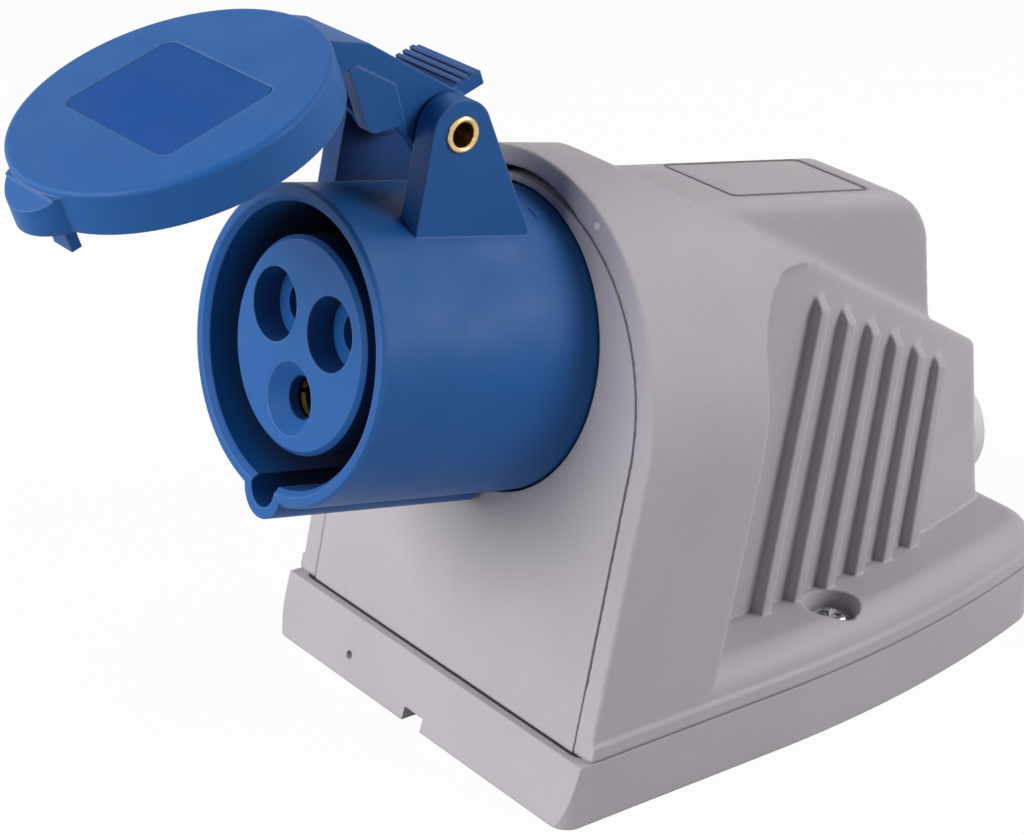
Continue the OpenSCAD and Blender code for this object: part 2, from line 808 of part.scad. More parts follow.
module shell_seal() {
    color(rubber) outlet_frame() translate([0, 0, flange_n]) difference() {
        cylinder(r = flange_r - 0.2, h = 1.2);
        translate([0, 0, -1]) cylinder(r = shell_r + 0.05, h = 4);
    }
}

face_n = shell_l - carrier_set;
sleeve_r = contact_bore/2 + sleeve_wall;
earth_r = earth_bore/2 + sleeve_wall;
clip_t = 0.7;
collar_r = 5;
collar_n = 0.7;
collar_t = 2;
pocket_n = face_n - 7;
pocket_r = 6.2;
pole_turns = [30, 150, 270];

module at_pole(i) {
    rotate(pole_turns[i]) translate([contact_ring, 0, 0]) children();
}

module contact_carrier() {
    color(blue) outlet_frame() difference() {
        union() {
            translate([0, 0, floor_n]) cylinder(r = carrier_r, h = face_n - floor_n - 0.8);
            translate([0, 0, face_n - 0.8 - seat])
                cylinder(r1 = carrier_r, r2 = carrier_r - 0.8, h = 0.8 + seat);
            translate([0, 0, web_n]) cylinder(r = spigot_r, h = web_t + 1);
        }
        for (i = [0, 1]) at_pole(i) {
            translate([0, 0, pocket_n]) cylinder(r = pocket_r, h = far);
            cylinder(r = contact_bore/2 + 0.85, h = far);
            cylinder(r = sleeve_r + clip_t + contact_fit, h = pocket_n - 2);
            cylinder(r = collar_r + contact_fit, h = collar_n + collar_t + contact_fit);
        }
        at_pole(2) {
            translate([0, 0, face_n - 2.6]) cylinder(r1 = earth_bore/2 + 0.6, r2 = pocket_r + 0.1, h = 2.7);
            cylinder(r = earth_bore/2 + 0.6, h = far);
            cylinder(r = earth_r + clip_t + contact_fit, h = face_n - 4.6);
            cylinder(r = collar_r + contact_fit, h = collar_n + collar_t + contact_fit);
        }
        cylinder(d = carrier_screw_d + contact_fit, h = carrier_screw_l + 2);
    }
}

module contact(bore, top_n) {
    r = bore/2 + sleeve_wall;
    difference() {
        union() {
            translate([0, 0, -terminal_l]) cylinder(d = terminal_d, h = terminal_l + collar_n + seat);
            translate([0, 0, collar_n]) cylinder(r = collar_r, h = collar_t);
            cylinder(r = r, h = top_n);
        }
        translate([0, 0, top_n - 20]) cylinder(d = bore, h = far);
        translate([0, 0, top_n - 0.5]) cylinder(d1 = bore, d2 = bore + 1.2, h = 0.6);
        translate([-0.4, -far, top_n - 14]) cube([0.8, far, far]);
        translate([0, 0, -terminal_l - 1]) cylinder(d = 4, h = 12, $fn = 32);
        translate([0, 0, 4 - terminal_l]) rotate([0, 90, 0]) cylinder(d = 2.9, h = far, $fn = 32);
    }
}

line_top = pocket_n - 2.3;
earth_top = face_n - 5;

module line_contact() {
    color(brass) outlet_frame() at_pole(0) contact(contact_bore, line_top);
}

module neutral_contact() {
    color(brass) outlet_frame() at_pole(1) contact(contact_bore, line_top);
}

module earth_contact() {
    color(brass) outlet_frame() at_pole(2) contact(earth_bore, earth_top);
}

clip_w = 3;
clip_set = 5;

module clip(r) {
    linear_extrude(clip_w) difference() {
        circle(r + clip_t);
        circle(r + 0.03);
        translate([-0.5, -far]) square([1, far]);
    }
}

module contact_clips() {
    color(steel) outlet_frame() {
        for (i = [0, 1]) at_pole(i) translate([0, 0, line_top - clip_set]) clip(sleeve_r);
        at_pole(2) translate([0, 0, earth_top - clip_set]) clip(earth_r);
    }
}

module terminal_screws() {
    color(steel) outlet_frame() for (i = [0:2]) at_pole(i)
        translate([terminal_d/2 + 0.6, 0, 4 - terminal_l]) rotate([0, 90, 0]) screw(2.8, 2.4, 4.6, 2);
}

retainer_t = 3;
carrier_screw_d = 3.8;
carrier_screw_l = 12;
carrier_head_d = 6.6;
carrier_head_h = 2.4;

module contact_retainer() {
    color(blue) outlet_frame() translate([0, 0, web_n - retainer_t]) difference() {
        cylinder(r = carrier_r + 1, h = retainer_t);
        for (i = [0:2]) at_pole(i) translate([0, 0, -1])
            cylinder(d = terminal_d + 2*contact_fit, h = retainer_t + 2);
        translate([0, 0, -1]) cylinder(d = carrier_screw_d + 2*contact_fit, h = retainer_t + 2);
    }
}

module carrier_screw() {
    color(steel) outlet_frame() translate([0, 0, web_n - retainer_t]) mirror([0, 0, 1])
        screw(carrier_screw_d, retainer_t + carrier_screw_l, carrier_head_d, carrier_head_h);
}

module hinge_pin() {
    l = 2*ear_x;
    color(brass) outlet_frame() translate([-ear_x, pin_u, pin_n]) rotate([0, 90, 0]) difference() {
        union() {
            cylinder(d = pin_d, h = l);
            for (z = [-pin_head_t, l]) translate([0, 0, z])
                cylinder(r = pin_d/2 + pin_head_w, h = pin_head_t);
        }
        translate([0, 0, -1]) cylinder(d = pin_bore, h = l + 2);
    }
}

arm_x = ear_x - ear_t - arm_gap;
arm_in = arm_x - arm_t;
lid_n = shell_l + lid_gap;
lid_face = lid_n + lid_h;
lid_bore = lid_r - lid_wall;
tongue_u = sqrt(shell_r*shell_r - arm_in*arm_in) + tongue_gap;
tongue_n = pin_n + 5.3;
tongue_r = 2;
tab_root = 2;

// Upper line of the lid's arm: from the lid's face over a bend to the knuckle.
arm_start = [lid_r - 2.5, lid_face - 0.3];
arm_bend = [lid_r + 5, lid_face - 5];
arm_end = [pin_u, pin_n] + knuckle_r*[cos(45), sin(45)];

function inward(a, b) = arm_plate*[b[1] - a[1], a[0] - b[0]]/norm(b - a);

// Side webs of the arm: a knuckle round the pin and a rounded tongue over the shell.
module web_profile() {
    difference() {
        union() {
            translate([pin_u, pin_n]) circle(knuckle_r);
            polygon([arm_start, arm_bend, arm_end, [pin_u, pin_n], [pin_u - knuckle_r, pin_n],
                [pin_u - knuckle_r - 2, tongue_n - 1], [tongue_u + tongue_r, tongue_n],
                [tongue_u, tongue_n + tongue_r], [tongue_u, lid_n], [arm_start[0], lid_n]]);
            translate([tongue_u, tongue_n] + tongue_r*[1, 1]) circle(tongue_r + 0.02);
        }
        translate([pin_u, pin_n]) circle(d = pin_d + 2*pin_fit);
    }
}

// The part of the web that is thicker: the tongue.
module tongue_profile() {
    intersection() {
        web_profile();
        polygon([[tongue_u - 1, tongue_n - 3], [tongue_u + 6.7, tongue_n - 3],
            [tongue_u + 7.2, tongue_n + 5.8], [tongue_u + 1.7, lid_n - 0.1], [tongue_u - 1, lid_n - 0.1]]);
    }
}

module top_plate_profile() {
    polygon([arm_start, arm_bend, arm_end, arm_end + inward(arm_bend, arm_end),
        arm_bend + inward(arm_bend, arm_end), arm_start + inward(arm_start, arm_bend)]);
}

module thumb_tab() {
    w = 2*arm_x - 1.2;
    rib = 0.6;
    pitch = (tab_l - 1)/tab_ribs;
    translate([-w/2, arm_end[0] - tab_root, arm_end[1] - tab_t + rib]) cube([w, tab_l + tab_root, tab_t]);
    for (i = [0:tab_ribs - 1])
        translate([-w/2, arm_end[0] + rib + i*pitch, arm_end[1] + rib - seat]) cube([w, 0.8, rib]);
}

// Rounded nose on the skirt. Its top slopes down from the lid's edge.
module latch_nose() {
    nose_u = lid_r + nose_reach - nose_r;
    difference() {
        translate([0, -nose_u, lid_n]) cylinder(r = nose_r, h = lid_h - lid_edge - 0.2);
        translate([0, 0, lid_n - 1]) cylinder(r = lid_bore, h = lid_h - lid_top + 1);
        translate([-far, -lid_r, lid_face - lid_edge - 0.6]) rotate([25, 0, 0])
            translate([0, -20, 0]) cube([2*far, 20, 20]);
    }
}

// Prong inside the skirt, which enters the keyway when the lid is shut.
module prong() {
    root = 0.3;
    translate([-prong_w/2, -lid_bore - root, lid_n - prong_l])
        cube([prong_w, prong_t + root, prong_l + lid_h - lid_top + root]);
}

module lid_cup() {
    rotate_extrude() difference() {
        union() {
            square([lid_r - lid_edge, lid_h]);
            square([lid_r, lid_h - lid_edge]);
            translate([lid_r - lid_edge, lid_h - lid_edge]) circle(lid_edge, $fn = 32);
        }
        translate([-1, -1]) square([lid_bore + 1, lid_h - lid_top + 1]);
    }
}

module label_field() {
    r = 2;
    w = label_w/2 - r;
    h = label_h/2 - r;
    translate([0, 0, lid_face - label_depth]) linear_extrude(2) union() {
        square([label_w - 2*r, label_h], center = true);
        square([label_w, label_h - 2*r], center = true);
        for (x = [-w, w], y = [-h, h]) translate([x, y]) circle(r, $fn = 32);
    }
}

// Room for the spring between the arm's webs.
module spring_room() {
    along_x(-arm_in - spring_gap, arm_in + spring_gap)
        translate([pin_u, pin_n]) circle(spring_r + spring_wire + spring_gap);
}

module lid() {
    color(blue) lid_frame() {
        difference() {
            union() {
                translate([0, 0, lid_n]) lid_cup();
                latch_nose();
                both_sides() along_x(arm_in, arm_x - arm_step) web_profile();
                both_sides() along_x(arm_in + 0.5, arm_x) tongue_profile();
                along_x(arm_step - arm_x, arm_x - arm_step) top_plate_profile();
                thumb_tab();
            }
            label_field();
            spring_room();
            translate([0, 0, lid_n - 1]) cylinder(r = lid_bore, h = lid_h - lid_top + 1);
        }
        prong();
    }
}

gasket_fit = 0.1;
gasket_w = 2.5;

module lid_gasket() {
    color(rubber) lid_frame() difference() {
        translate([0, 0, lid_n + gasket_fit])
            cylinder(r = lid_bore - gasket_fit, h = lid_h - lid_top - gasket_fit);
        translate([0, 0, lid_n - 1]) cylinder(r = lid_bore - gasket_fit - gasket_w, h = lid_h + 2);
        translate([-prong_w/2 - lid_gap, -lid_r, lid_n - 1])
            cube([prong_w + 2*lid_gap, lid_wall + prong_t + lid_gap, lid_h + 2]);
    }
}

// Torsion spring round the pin: a helix between the arm's webs.
spring_wire = 0.45;
spring_fit = 0.1;
spring_gap = 0.3;
spring_r = pin_d/2 + spring_wire + spring_fit;
spring_turns = 5;
spring_steps = 18;
spring_half = arm_in - 2*spring_wire;

function helix_point(k, n) =
    let (a = 200 + 360*spring_turns*k/n)
    [-spring_half + 2*spring_half*k/n, pin_u + spring_r*cos(a), pin_n + spring_r*sin(a)];

module sweep(points, r, sides = 6) {
    n = len(points);
    dirs = [for (i = [0:n - 1]) let (d = points[min(i + 1, n - 1)] - points[max(i - 1, 0)]) d/norm(d)];
    rings = [for (i = [0:n - 1])
        let (a = cross(dirs[i], [0.36, 0.48, 0.8]), b = a/norm(a), c = cross(dirs[i], b))
        for (j = [0:sides - 1]) points[i] + r*(cos(360*j/sides)*b + sin(360*j/sides)*c)];
    walls = [for (i = [0:n - 2], j = [0:sides - 1]) let (k = (j + 1) % sides)
        [i*sides + j, i*sides + k, (i + 1)*sides + k, (i + 1)*sides + j]];
    ends = [[for (j = [sides - 1:-1:0]) j], [for (j = [0:sides - 1]) (n - 1)*sides + j]];
    polyhedron(rings, concat(walls, ends), convexity = 10);
}

module lid_spring() {
    n = spring_turns*spring_steps;
    color(steel) outlet_frame() sweep([for (k = [0:n]) helix_point(k, n)], spring_wire);
}

gland_gap = 0.2;
gland_thread_l = gland_flange + gland_gap + gland_nut_l - gland_lip - gland_gap;
locknut_t = 4;
locknut_w = 2.4;

module gland_body() {
    inner = gland_seat_y - gland_wall - locknut_t - 2;
    color(nylon) difference() {
        union() {
            gland_axis(inner) cylinder(d = gland_thread_d, h = gland_seat_y - inner + gland_thread_l);
            gland_axis(gland_seat_y) cylinder(r = gland_nut_r, h = gland_flange);
        }
        gland_axis(inner - 1) cylinder(d = gland_bore, h = far);
        gland_axis(gland_seat_y) cylinder(d = gland_bore + 3.2, h = far);
    }
}

module gland_nut() {
    start = gland_seat_y + gland_flange + gland_gap;
    color(nylon) difference() {
        union() {
            gland_axis(start) cylinder(r = gland_nut_r, h = gland_nut_l - gland_lip);
            gland_axis(start + gland_nut_l - gland_lip - seat)
                cylinder(r1 = gland_nut_r, r2 = gland_nut_r - gland_lip, h = gland_lip + seat);
        }
        gland_axis(start - 1) cylinder(d = gland_bore + 2*gland_gap, h = far);
        gland_axis(start - 1) cylinder(d = gland_thread_d + gland_gap, h = gland_nut_l - gland_lip + 1);
    }
}

module gland_seal() {
    color(rubber) difference() {
        gland_axis(gland_seat_y + 0.1) cylinder(d = gland_bore + 3, h = gland_thread_l);
        gland_axis(gland_seat_y - 1) cylinder(d = gland_bore - 0.6, h = far);
    }
}

module gland_locknut() {
    start = gland_seat_y - gland_wall - locknut_t;
    color(nylon) difference() {
        gland_axis(start) cylinder(r = gland_nut_r + locknut_w, h = locknut_t, $fn = 6);
        gland_axis(start - 1) cylinder(d = gland_thread_d + gland_gap, h = far);
    }
}

back_box();
hood();
base_seal();
cover_screws();
front_panel();
panel_screws();
socket_shell();
shell_seal();
contact_carrier();
contact_retainer();
carrier_screw();
line_contact();
neutral_contact();
earth_contact();
contact_clips();
terminal_screws();
hinge_pin();
lid_spring();
lid();
lid_gasket();
gland_body();
gland_nut();
gland_seal();
gland_locknut();
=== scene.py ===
"""Looks of the wall socket: plastics, metals and rubber, its small turned pieces, and a plain studio."""
import json
import math

import bmesh
import bpy
from bpy.props import FloatProperty, FloatVectorProperty, IntProperty, PointerProperty
from bpy.types import Operator, Panel, PropertyGroup
from mathutils import Matrix, Vector


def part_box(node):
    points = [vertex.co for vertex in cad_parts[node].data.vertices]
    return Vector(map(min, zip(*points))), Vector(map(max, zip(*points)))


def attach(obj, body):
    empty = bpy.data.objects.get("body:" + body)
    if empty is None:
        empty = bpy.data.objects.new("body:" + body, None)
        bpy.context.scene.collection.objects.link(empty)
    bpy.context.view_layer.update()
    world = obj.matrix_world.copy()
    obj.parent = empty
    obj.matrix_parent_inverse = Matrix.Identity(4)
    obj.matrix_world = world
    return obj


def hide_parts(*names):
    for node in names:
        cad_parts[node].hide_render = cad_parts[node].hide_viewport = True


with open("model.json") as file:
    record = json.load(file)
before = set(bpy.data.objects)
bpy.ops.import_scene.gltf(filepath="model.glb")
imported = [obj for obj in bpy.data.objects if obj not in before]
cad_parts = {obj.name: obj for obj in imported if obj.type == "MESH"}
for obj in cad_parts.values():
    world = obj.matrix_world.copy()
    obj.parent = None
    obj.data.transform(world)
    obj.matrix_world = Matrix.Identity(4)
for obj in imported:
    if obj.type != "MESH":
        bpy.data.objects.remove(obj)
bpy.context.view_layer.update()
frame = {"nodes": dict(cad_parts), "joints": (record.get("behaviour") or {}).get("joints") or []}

bl_info = {
    "name": "Wall socket looks",
    "version": (1, 0, 0),
    "blender": (4, 5, 0),
    "location": "View3D > Sidebar > Socket",
    "description": "Dresses the packed wall socket and builds its studio",
    "category": "Object",
}

MM = 0.001
JOINTS = {joint["name"]: joint for joint in frame["joints"]}

# The outlet's frame: where its axis meets the panel, and its directions across, up and out.
OUTLET = Vector(JOINTS["outlet_twist"]["pos_m"])
ALONG = Vector(JOINTS["outlet_twist"]["axis"]).normalized()
ACROSS = Vector((1.0, 0.0, 0.0))
UP = ALONG.cross(ACROSS)

# The hinge pin in the outlet's frame, and the angle at which the lid stands open.
PIN = Vector(JOINTS["lid_hinge"]["pos_m"]) - OUTLET
PIN_UP = PIN.dot(UP)
PIN_OUT = PIN.dot(ALONG)
LID_OPEN = math.radians(JOINTS["lid_hinge"]["range_deg"][1])

# The ledge round the hood's foot: it follows the tray's outline, which bows and then rounds the corner.
TRAY_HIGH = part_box("back_box")[1]
LEDGE_TOP = 20 * MM
LEDGE_ROUND = 5 * MM
LEDGE_STEP = 0.6 * MM
LEDGE_WIDTH = 14 * MM
LEDGE_SLACK = 0.35 * MM
MERGE_REACH = 0.03 * MM
FLAW_REACH = 0.01 * MM
BOW_START = -15.5 * MM
BOW_RADIUS = 270 * MM
CORNER_RADIUS = 10 * MM

# The hood's roof: a point on its lower end, its direction, and half the wiring box's width.
ROOF_SLOPE = math.radians(30)
ROOF_END = Vector((0.0, 58.9, 50.2)) * MM
ROOF = Vector((0.0, math.sin(ROOF_SLOPE), math.cos(ROOF_SLOPE)))
WIRING_HALF = 21 * MM

# The plate on the wiring box's top: the top's tilt and height over the outlet, and the plate's place.
WIRING_TILT = math.radians(9)
WIRING_UP = 26.4 * MM
PLATE_START = 40 * MM
PLATE_LENGTH = 34 * MM
PLATE_WIDTH = 19.6 * MM
PLATE_CORNER = 1.6 * MM
SEAM_RISE = 0.03 * MM
SEAM_DEPTH = 0.2 * MM

# How the hood's moulding is eased, and where each flank's arc runs out at the roof.
FLANK_REAR = -31 * MM
FRONT_SOFTNESS = 0.15
FRONT_BLEND = 5 * MM
ROOF_BAND = 3 * MM
FOOT_BAND = 3 * MM
SKIN_SCALE = 0.95
EASE = 0.5
SOFT_ROUNDS = 26
ALL_ROUNDS = 2
HOOD_FACES = 90_000
ARC_END = Vector((29.05, -0.3, 84.1)) * MM
ARC_REACH = 1.2 * MM

# The cover screws' seat and the cross pressed into their heads.
SCREW_AT = Vector((35.1, 3.7, 15.4)) * MM
SCREW_TURN = math.radians(28)
SCREW_TIP = 0.3 * MM
SCREW_POINT = 1.6 * MM
HEAD_RIM = 0.2 * MM
HEAD_CROWN = 0.55
BOSS_RADIUS = 7.4 * MM
CROSS_DEPTH = 1.5 * MM
CROSS_WIDTH = 0.95 * MM
CROSS_REACH = 1.75 * MM

# The pale dot on the hood's rim and the raised triangle on the shell's side.
DOT_AT = (19.8 * MM, 25.6 * MM, 0.0)
DOT_RISE = 0.15 * MM
SHELL_RADIUS = 26.4 * MM
MARK_TURN = math.radians(21)
MARK_OUT = 4.2 * MM
MARK_RISE = 0.25 * MM

# The live holes in the contact carrier's face, and the label field's two faces over the closed outlet.
LIVE_TURNS = (math.radians(30), math.radians(150))
HOLE_RING = 9.1 * MM
POCKET_RADIUS = 6.19 * MM
POCKET_FLOOR = 34.5 * MM
BORE_RADIUS = 3.45 * MM
LABEL_FOOT = 51.1 * MM
LABEL_FACE = 51.32 * MM

# The hinge rivet's tube and the lid spring: its half width, and the leg's points up and out in millimetres.
RIVET_HALF = 14.02 * MM
RIVET_TUBE = 2.7 * MM
RIVET_NECK = 0.3 * MM
SPRING_HALF = 5.3 * MM
SPRING_LEG = (
    (37.6, 23.2), (35.0, 22.6), (32.4, 22.0), (30.0, 21.2), (28.4, 20.0), (27.7, 18.2), (27.6, 15.4),
)
COIL_STEPS = 28

# Sizes of the marks in the materials, and the painted shade deep in a recess of the blue plastic.
FLOW_MARKS = 28 * MM
SPECKS = 1.1 * MM
RUBBED_SPOTS = 9 * MM
WAVES = 14 * MM
TARNISH = 2.4 * MM
TOOL_MARKS = 0.18 * MM
BLOOM = 3 * MM
PORES = 0.25 * MM
PAINTED_SHADE_TONE = (0.02, 0.012, 0.024, 1.0)
WHITE = (1.0, 1.0, 1.0)

# The studio: its floor, the point its lights face, its lights' places, and the point the camera faces.
FLOOR_HALF = 4.0
FLOOR_DROP = 0.3 * MM
FLOOR_PAINT = 0.4
FLOOR_GLOW = 0.94
LIGHT_SIZE = 0.6
LIGHT_TARGET = Vector((0.0, -0.03, 0.05))
LIGHT_PLACES = {
    "key": (0.0, -1.05, 0.45),
    "low": (-0.75, -0.8, 0.3),
    "high": (-0.35, -0.75, 0.7),
    "rear": (0.1, 0.7, 0.85),
    "side": (0.8, 0.5, 0.5),
}
CAMERA_TARGET = Vector((-2.98, -40.5, 53.25)) * MM
SENSOR_WIDTH = 36.0


def on_outlet(x, u, n):
    """A point of the outlet's own frame as a point of the part's frame."""
    return OUTLET + ACROSS * x + UP * u + ALONG * n


def on_lid(x, u, n):
    """A point of the closed lid, in the outlet's frame, moved to where the open lid has it."""
    up, out = u - PIN_UP, n - PIN_OUT
    c, s = math.cos(LID_OPEN), math.sin(LID_OPEN)
    return on_outlet(x, PIN_UP + up * c + out * s, PIN_OUT - up * s + out * c)


def on_shell(turn, n, rise):
    """A point over the shell's round side: its turn from the top, its place along the axis, its rise."""
    reach = SHELL_RADIUS + rise
    return on_outlet(reach * math.sin(turn), reach * math.cos(turn), n)


def on_wiring_top(x, back, rise):
    """A point over the wiring box's top: across, back from the outlet's panel point, and its rise."""
    c, s = math.cos(WIRING_TILT), math.sin(WIRING_TILT)
    up = WIRING_UP + rise
    return OUTLET + Vector((x, up * s + back * c, up * c - back * s))


def colour(name, text, value):
    return FloatVectorProperty(
        name=name, description=text, default=value, subtype="COLOR", size=3, min=0.0, max=1.0
    )


def length(name, text, value):
    return FloatProperty(
        name=name, description=text, default=value * MM, subtype="DISTANCE", unit="LENGTH", min=0.0
    )


def count(name, text, value, low, high):
    return IntProperty(name=name, description=text, default=value, min=low, max=high)


def share(name, text, value):
    return FloatProperty(name=name, description=text, default=value, subtype="FACTOR", min=0.0, max=1.0)


def angle(name, text, degrees):
    return FloatProperty(name=name, description=text, default=math.radians(degrees), subtype="ANGLE")


def power(name, text, watts):
    return FloatProperty(name=name, description=text, default=watts, subtype="POWER", min=0.0)


class SocketFinishes(PropertyGroup):
    """Colours and textures of the socket's materials."""

    grey: colour("Housing grey", "Colour of the moulded housing", (0.50, 0.466, 0.50))
    blue: colour("Outlet blue", "Colour of the moulded outlet and lid", (0.010, 0.102, 0.35))
    label: colour("Label field", "Colour of the bare label field on the lid", (0.005, 0.074, 0.31))
    brass: colour("Brass", "Colour of the hinge rivet", (0.72, 0.52, 0.24))
    # The contacts' brass is darkened nearly to black as painted shade of the deep live holes.
    contact: colour("Contact brass", "Colour of the shaded contacts", (0.04, 0.028, 0.015))
    steel: colour("Steel", "Colour of the plated screws and springs", (0.66, 0.66, 0.68))
    rubber: colour("Rubber", "Colour of the seals", (0.012, 0.012, 0.013))
    nylon: colour("Nylon", "Colour of the cable gland", (0.80, 0.79, 0.79))
    grain: length("Plastic grain", "Size of the fine moulded texture", 0.35)
    edge: length("Edge softness", "Radius by which moulded edges are softened", 0.5)
    fine_edge: length("Mark edge softness", "Radius by which the thin marks' edges are softened", 0.1)
    # The reach within which shade is painted into the blue plastic's recesses.
    recess: length("Recess reach", "How near the walls of a dark recess stand", 25)
    grey_roughness: share("Grey roughness", "Roughness of the housing plastic", 0.5)
    blue_roughness: share("Blue roughness", "Roughness of the outlet plastic", 0.5)
    nylon_roughness: share("Nylon roughness", "Roughness of the gland's nylon", 0.4)
    contact_roughness: share("Contact roughness", "Roughness of the shaded contacts", 0.5)
    plated_roughness: share("Plated roughness", "Roughness of the inner screws and clips", 0.3)
    screw_roughness: share("Screw roughness", "Roughness of the bright cover screws", 0.16)
    rivet_roughness: share("Rivet roughness", "Roughness of the hinge rivet", 0.22)
    spring_roughness: share("Spring roughness", "Roughness of the lid spring", 0.25)
    gloss: share("Plastic gloss", "How strongly the moulded plastics shine", 0.3)
    label_gloss: share("Label gloss", "How strongly the label field shines", 0.12)
    seam_roughness: share("Seam roughness", "Roughness of the plate's seam", 0.7)
    seam_gloss: share("Seam gloss", "How strongly the plate's seam shines", 0.1)
    # How light the seam's painted shade is against the housing.
    seam_shade_tone: share("Seam tone", "Lightness of the plate's seam against the housing", 0.5)


class SocketSizes(PropertyGroup):
    """Sizes of the small pieces made here."""

    hood_skin: count("Hood skin", "Fineness of the hood's moulded skin", 8, 6, 8)
    head: length("Screw head", "Radius of a cover screw's head", 3.7)
    head_height: length("Screw head height", "Height of a cover screw's head", 2.6)
    shank: length("Screw shank", "Radius of a cover screw's shank", 1.95)
    shank_length: length("Screw shank length", "Length of a cover screw's shank", 11.9)
    rivet_bore: length("Rivet bore", "Radius of the hinge rivet's bore", 2.0)
    rivet_roll: length("Rivet roll", "Radius of the hinge rivet's rolled ends", 0.55)
    wire: length("Spring wire", "Radius of the lid spring's wire", 0.45)
    coil: length("Spring coil", "Radius of the lid spring's coils", 3.25)
    turns: count("Spring turns", "Number of coils of the lid spring", 5, 2, 8)
    label_width: length("Label width", "Width of the label field on the lid", 29.7)
    label_height: length("Label height", "Height of the label field on the lid", 20.7)
    label_corner: length("Label corner", "Corner radius of the label field", 1.9)
    mark_width: length("Turn mark width", "Width of the triangle on the shell", 3.0)
    mark_length: length("Turn mark length", "Length of the triangle on the shell", 3.4)
    dot: length("Index dot", "Radius of the pale dot on the hood's rim", 0.7)
    seam: length("Plate seam", "Width of the seam round the wiring box's plate", 0.3)
    shoulder: length("Pocket shoulder", "Height of the shoulder in a live hole", 1.7)


class SocketStudio(PropertyGroup):
    """Camera and light of the studio."""

    azimuth: angle("Azimuth", "Camera's turn round the socket", 51.65)
    elevation: angle("Elevation", "Camera's height angle", 24.16)
    roll: angle("Roll", "Camera's roll", 1.96)
    distance: length("Distance", "Camera's distance from the point it looks at", 512.9)
    lens: FloatProperty(
        name="Lens", description="Focal length in millimetres", default=102.92, min=10, max=300
    )
    key: power("Key light", "Power of the large light in front", 7.9)
    low: power("Low light", "Power of the low light on the left", 1.9)
    high: power("High light", "Power of the high light on the left", 2.4)
    rear: power("Rear light", "Power of the high light behind", 2.8)
    side: power("Side light", "Power of the light from the rear right", 6.0)
    sky: FloatProperty(
        name="Sky", description="Strength of the even light from all round", default=0.03, min=0.0
    )


class Nodes:
    """A small builder for one node tree, whose methods give back an output."""

    def __init__(self, owner):
        owner.use_nodes = True
        self.tree = owner.node_tree
        self.tree.nodes.clear()

    def feed(self, target, value):
        """Gives an input a constant, or links it to another node's output."""
        if isinstance(value, bpy.types.NodeSocket):
            self.tree.links.new(value, target)
        else:
            target.default_value = value

    def node(self, kind, **values):
        """A new node, with values for its settings and, with underscores for spaces, its inputs."""
        made = self.tree.nodes.new(kind)
        for key, value in values.items():
            if hasattr(made, key):
                setattr(made, key, value)
            else:
                self.feed(made.inputs[key.replace("_", " ")], value)
        return made

    def pair(self, kind, operation, first, second):
        """A node that works on two inputs, such as the larger of two numbers."""
        made = self.node(kind, operation=operation)
        self.feed(made.inputs[0], first)
        self.feed(made.inputs[1], second)
        return made

    def remap(self, value, start, end, low, high):
        made = self.node(
            "ShaderNodeMapRange", Value=value, From_Min=start, From_Max=end, To_Min=low, To_Max=high
        )
        return made.outputs["Result"]

    def seen_ray(self):
        """1 where a camera, mirror or glass ray looks, 0 for the rays that carry light."""
        rays = self.node("ShaderNodeLightPath").outputs
        seen = rays["Is Camera Ray"]
        for kind in ("Is Glossy Ray", "Is Transmission Ray"):
            seen = self.pair("ShaderNodeMath", "MAXIMUM", seen, rays[kind]).outputs["Value"]
        return seen


class Finish(Nodes):
    """The builder for one finish of the socket."""

    def __init__(self, name):
        self.material = bpy.data.materials.new(name)
        super().__init__(self.material)
        self.body = self.node("ShaderNodeBsdfPrincipled")
        self.node("ShaderNodeOutputMaterial", Surface=self.body.outputs["BSDF"])
        self.place = self.node("ShaderNodeTexCoord").outputs["Object"]

    def noise(self, size, detail):
        made = self.node(
            "ShaderNodeTexNoise", Vector=self.place, Scale=1 / size, Detail=detail, Roughness=0.55
        )
        return made.outputs["Fac"]

    def spread(self, noise, low, high):
        """The noise's usual range brought to a range of the finish."""
        return self.remap(noise, 0.3, 0.7, low, high)

    def ramp(self, value, low, high, at=(0.3, 0.7)):
        made = self.node("ShaderNodeValToRGB", Fac=value)
        for stop, rgb, place in zip(made.color_ramp.elements, (low, high), at):
            stop.color = (*rgb, 1.0)
            stop.position = place
        return made.outputs["Color"]

    def mix(self, factor, first, second, blend="MIX"):
        made = self.node(
            "ShaderNodeMix", data_type="RGBA", blend_type=blend, Factor=factor, A=first, B=second
        )
        return made.outputs["Result"]

    def bump(self, value, strength, depth):
        return self.node("ShaderNodeBump", Height=value, Strength=strength, Distance=depth)

    def edge_share(self, soft):
        """From 0 on a flat stretch to 1 where the softened edge turns away from the face."""
        face = self.node("ShaderNodeNewGeometry").outputs["Normal"]
        turn = self.pair("ShaderNodeVectorMath", "DOT_PRODUCT", soft, face)
        return self.remap(turn.outputs["Value"], 0.995, 0.8, 0.0, 1.0)

    def unshaded_share(self, reach):
        """From 0 deep in a recess to 1 where no wall stands within reach; it sets where shade is painted.
        """
        sky = self.node("ShaderNodeAmbientOcclusion", samples=8, Distance=reach)
        return self.remap(sky.outputs["AO"], 0.12, 0.42, 0.0, 1.0)

    def done(self, **values):
        """The material, with the shader's own inputs set or linked."""
        for key, value in values.items():
            self.feed(self.body.inputs[key.replace("_", " ")], value)
        return self.material


def tint(rgb, factor):
    return tuple(min(1.0, c * factor) for c in rgb)


def edge_highlight(rgb):
    """The lighter colour painted along an edge as a highlight."""
    return (*(c + 0.1 * (1 - c) for c in rgb), 1.0)


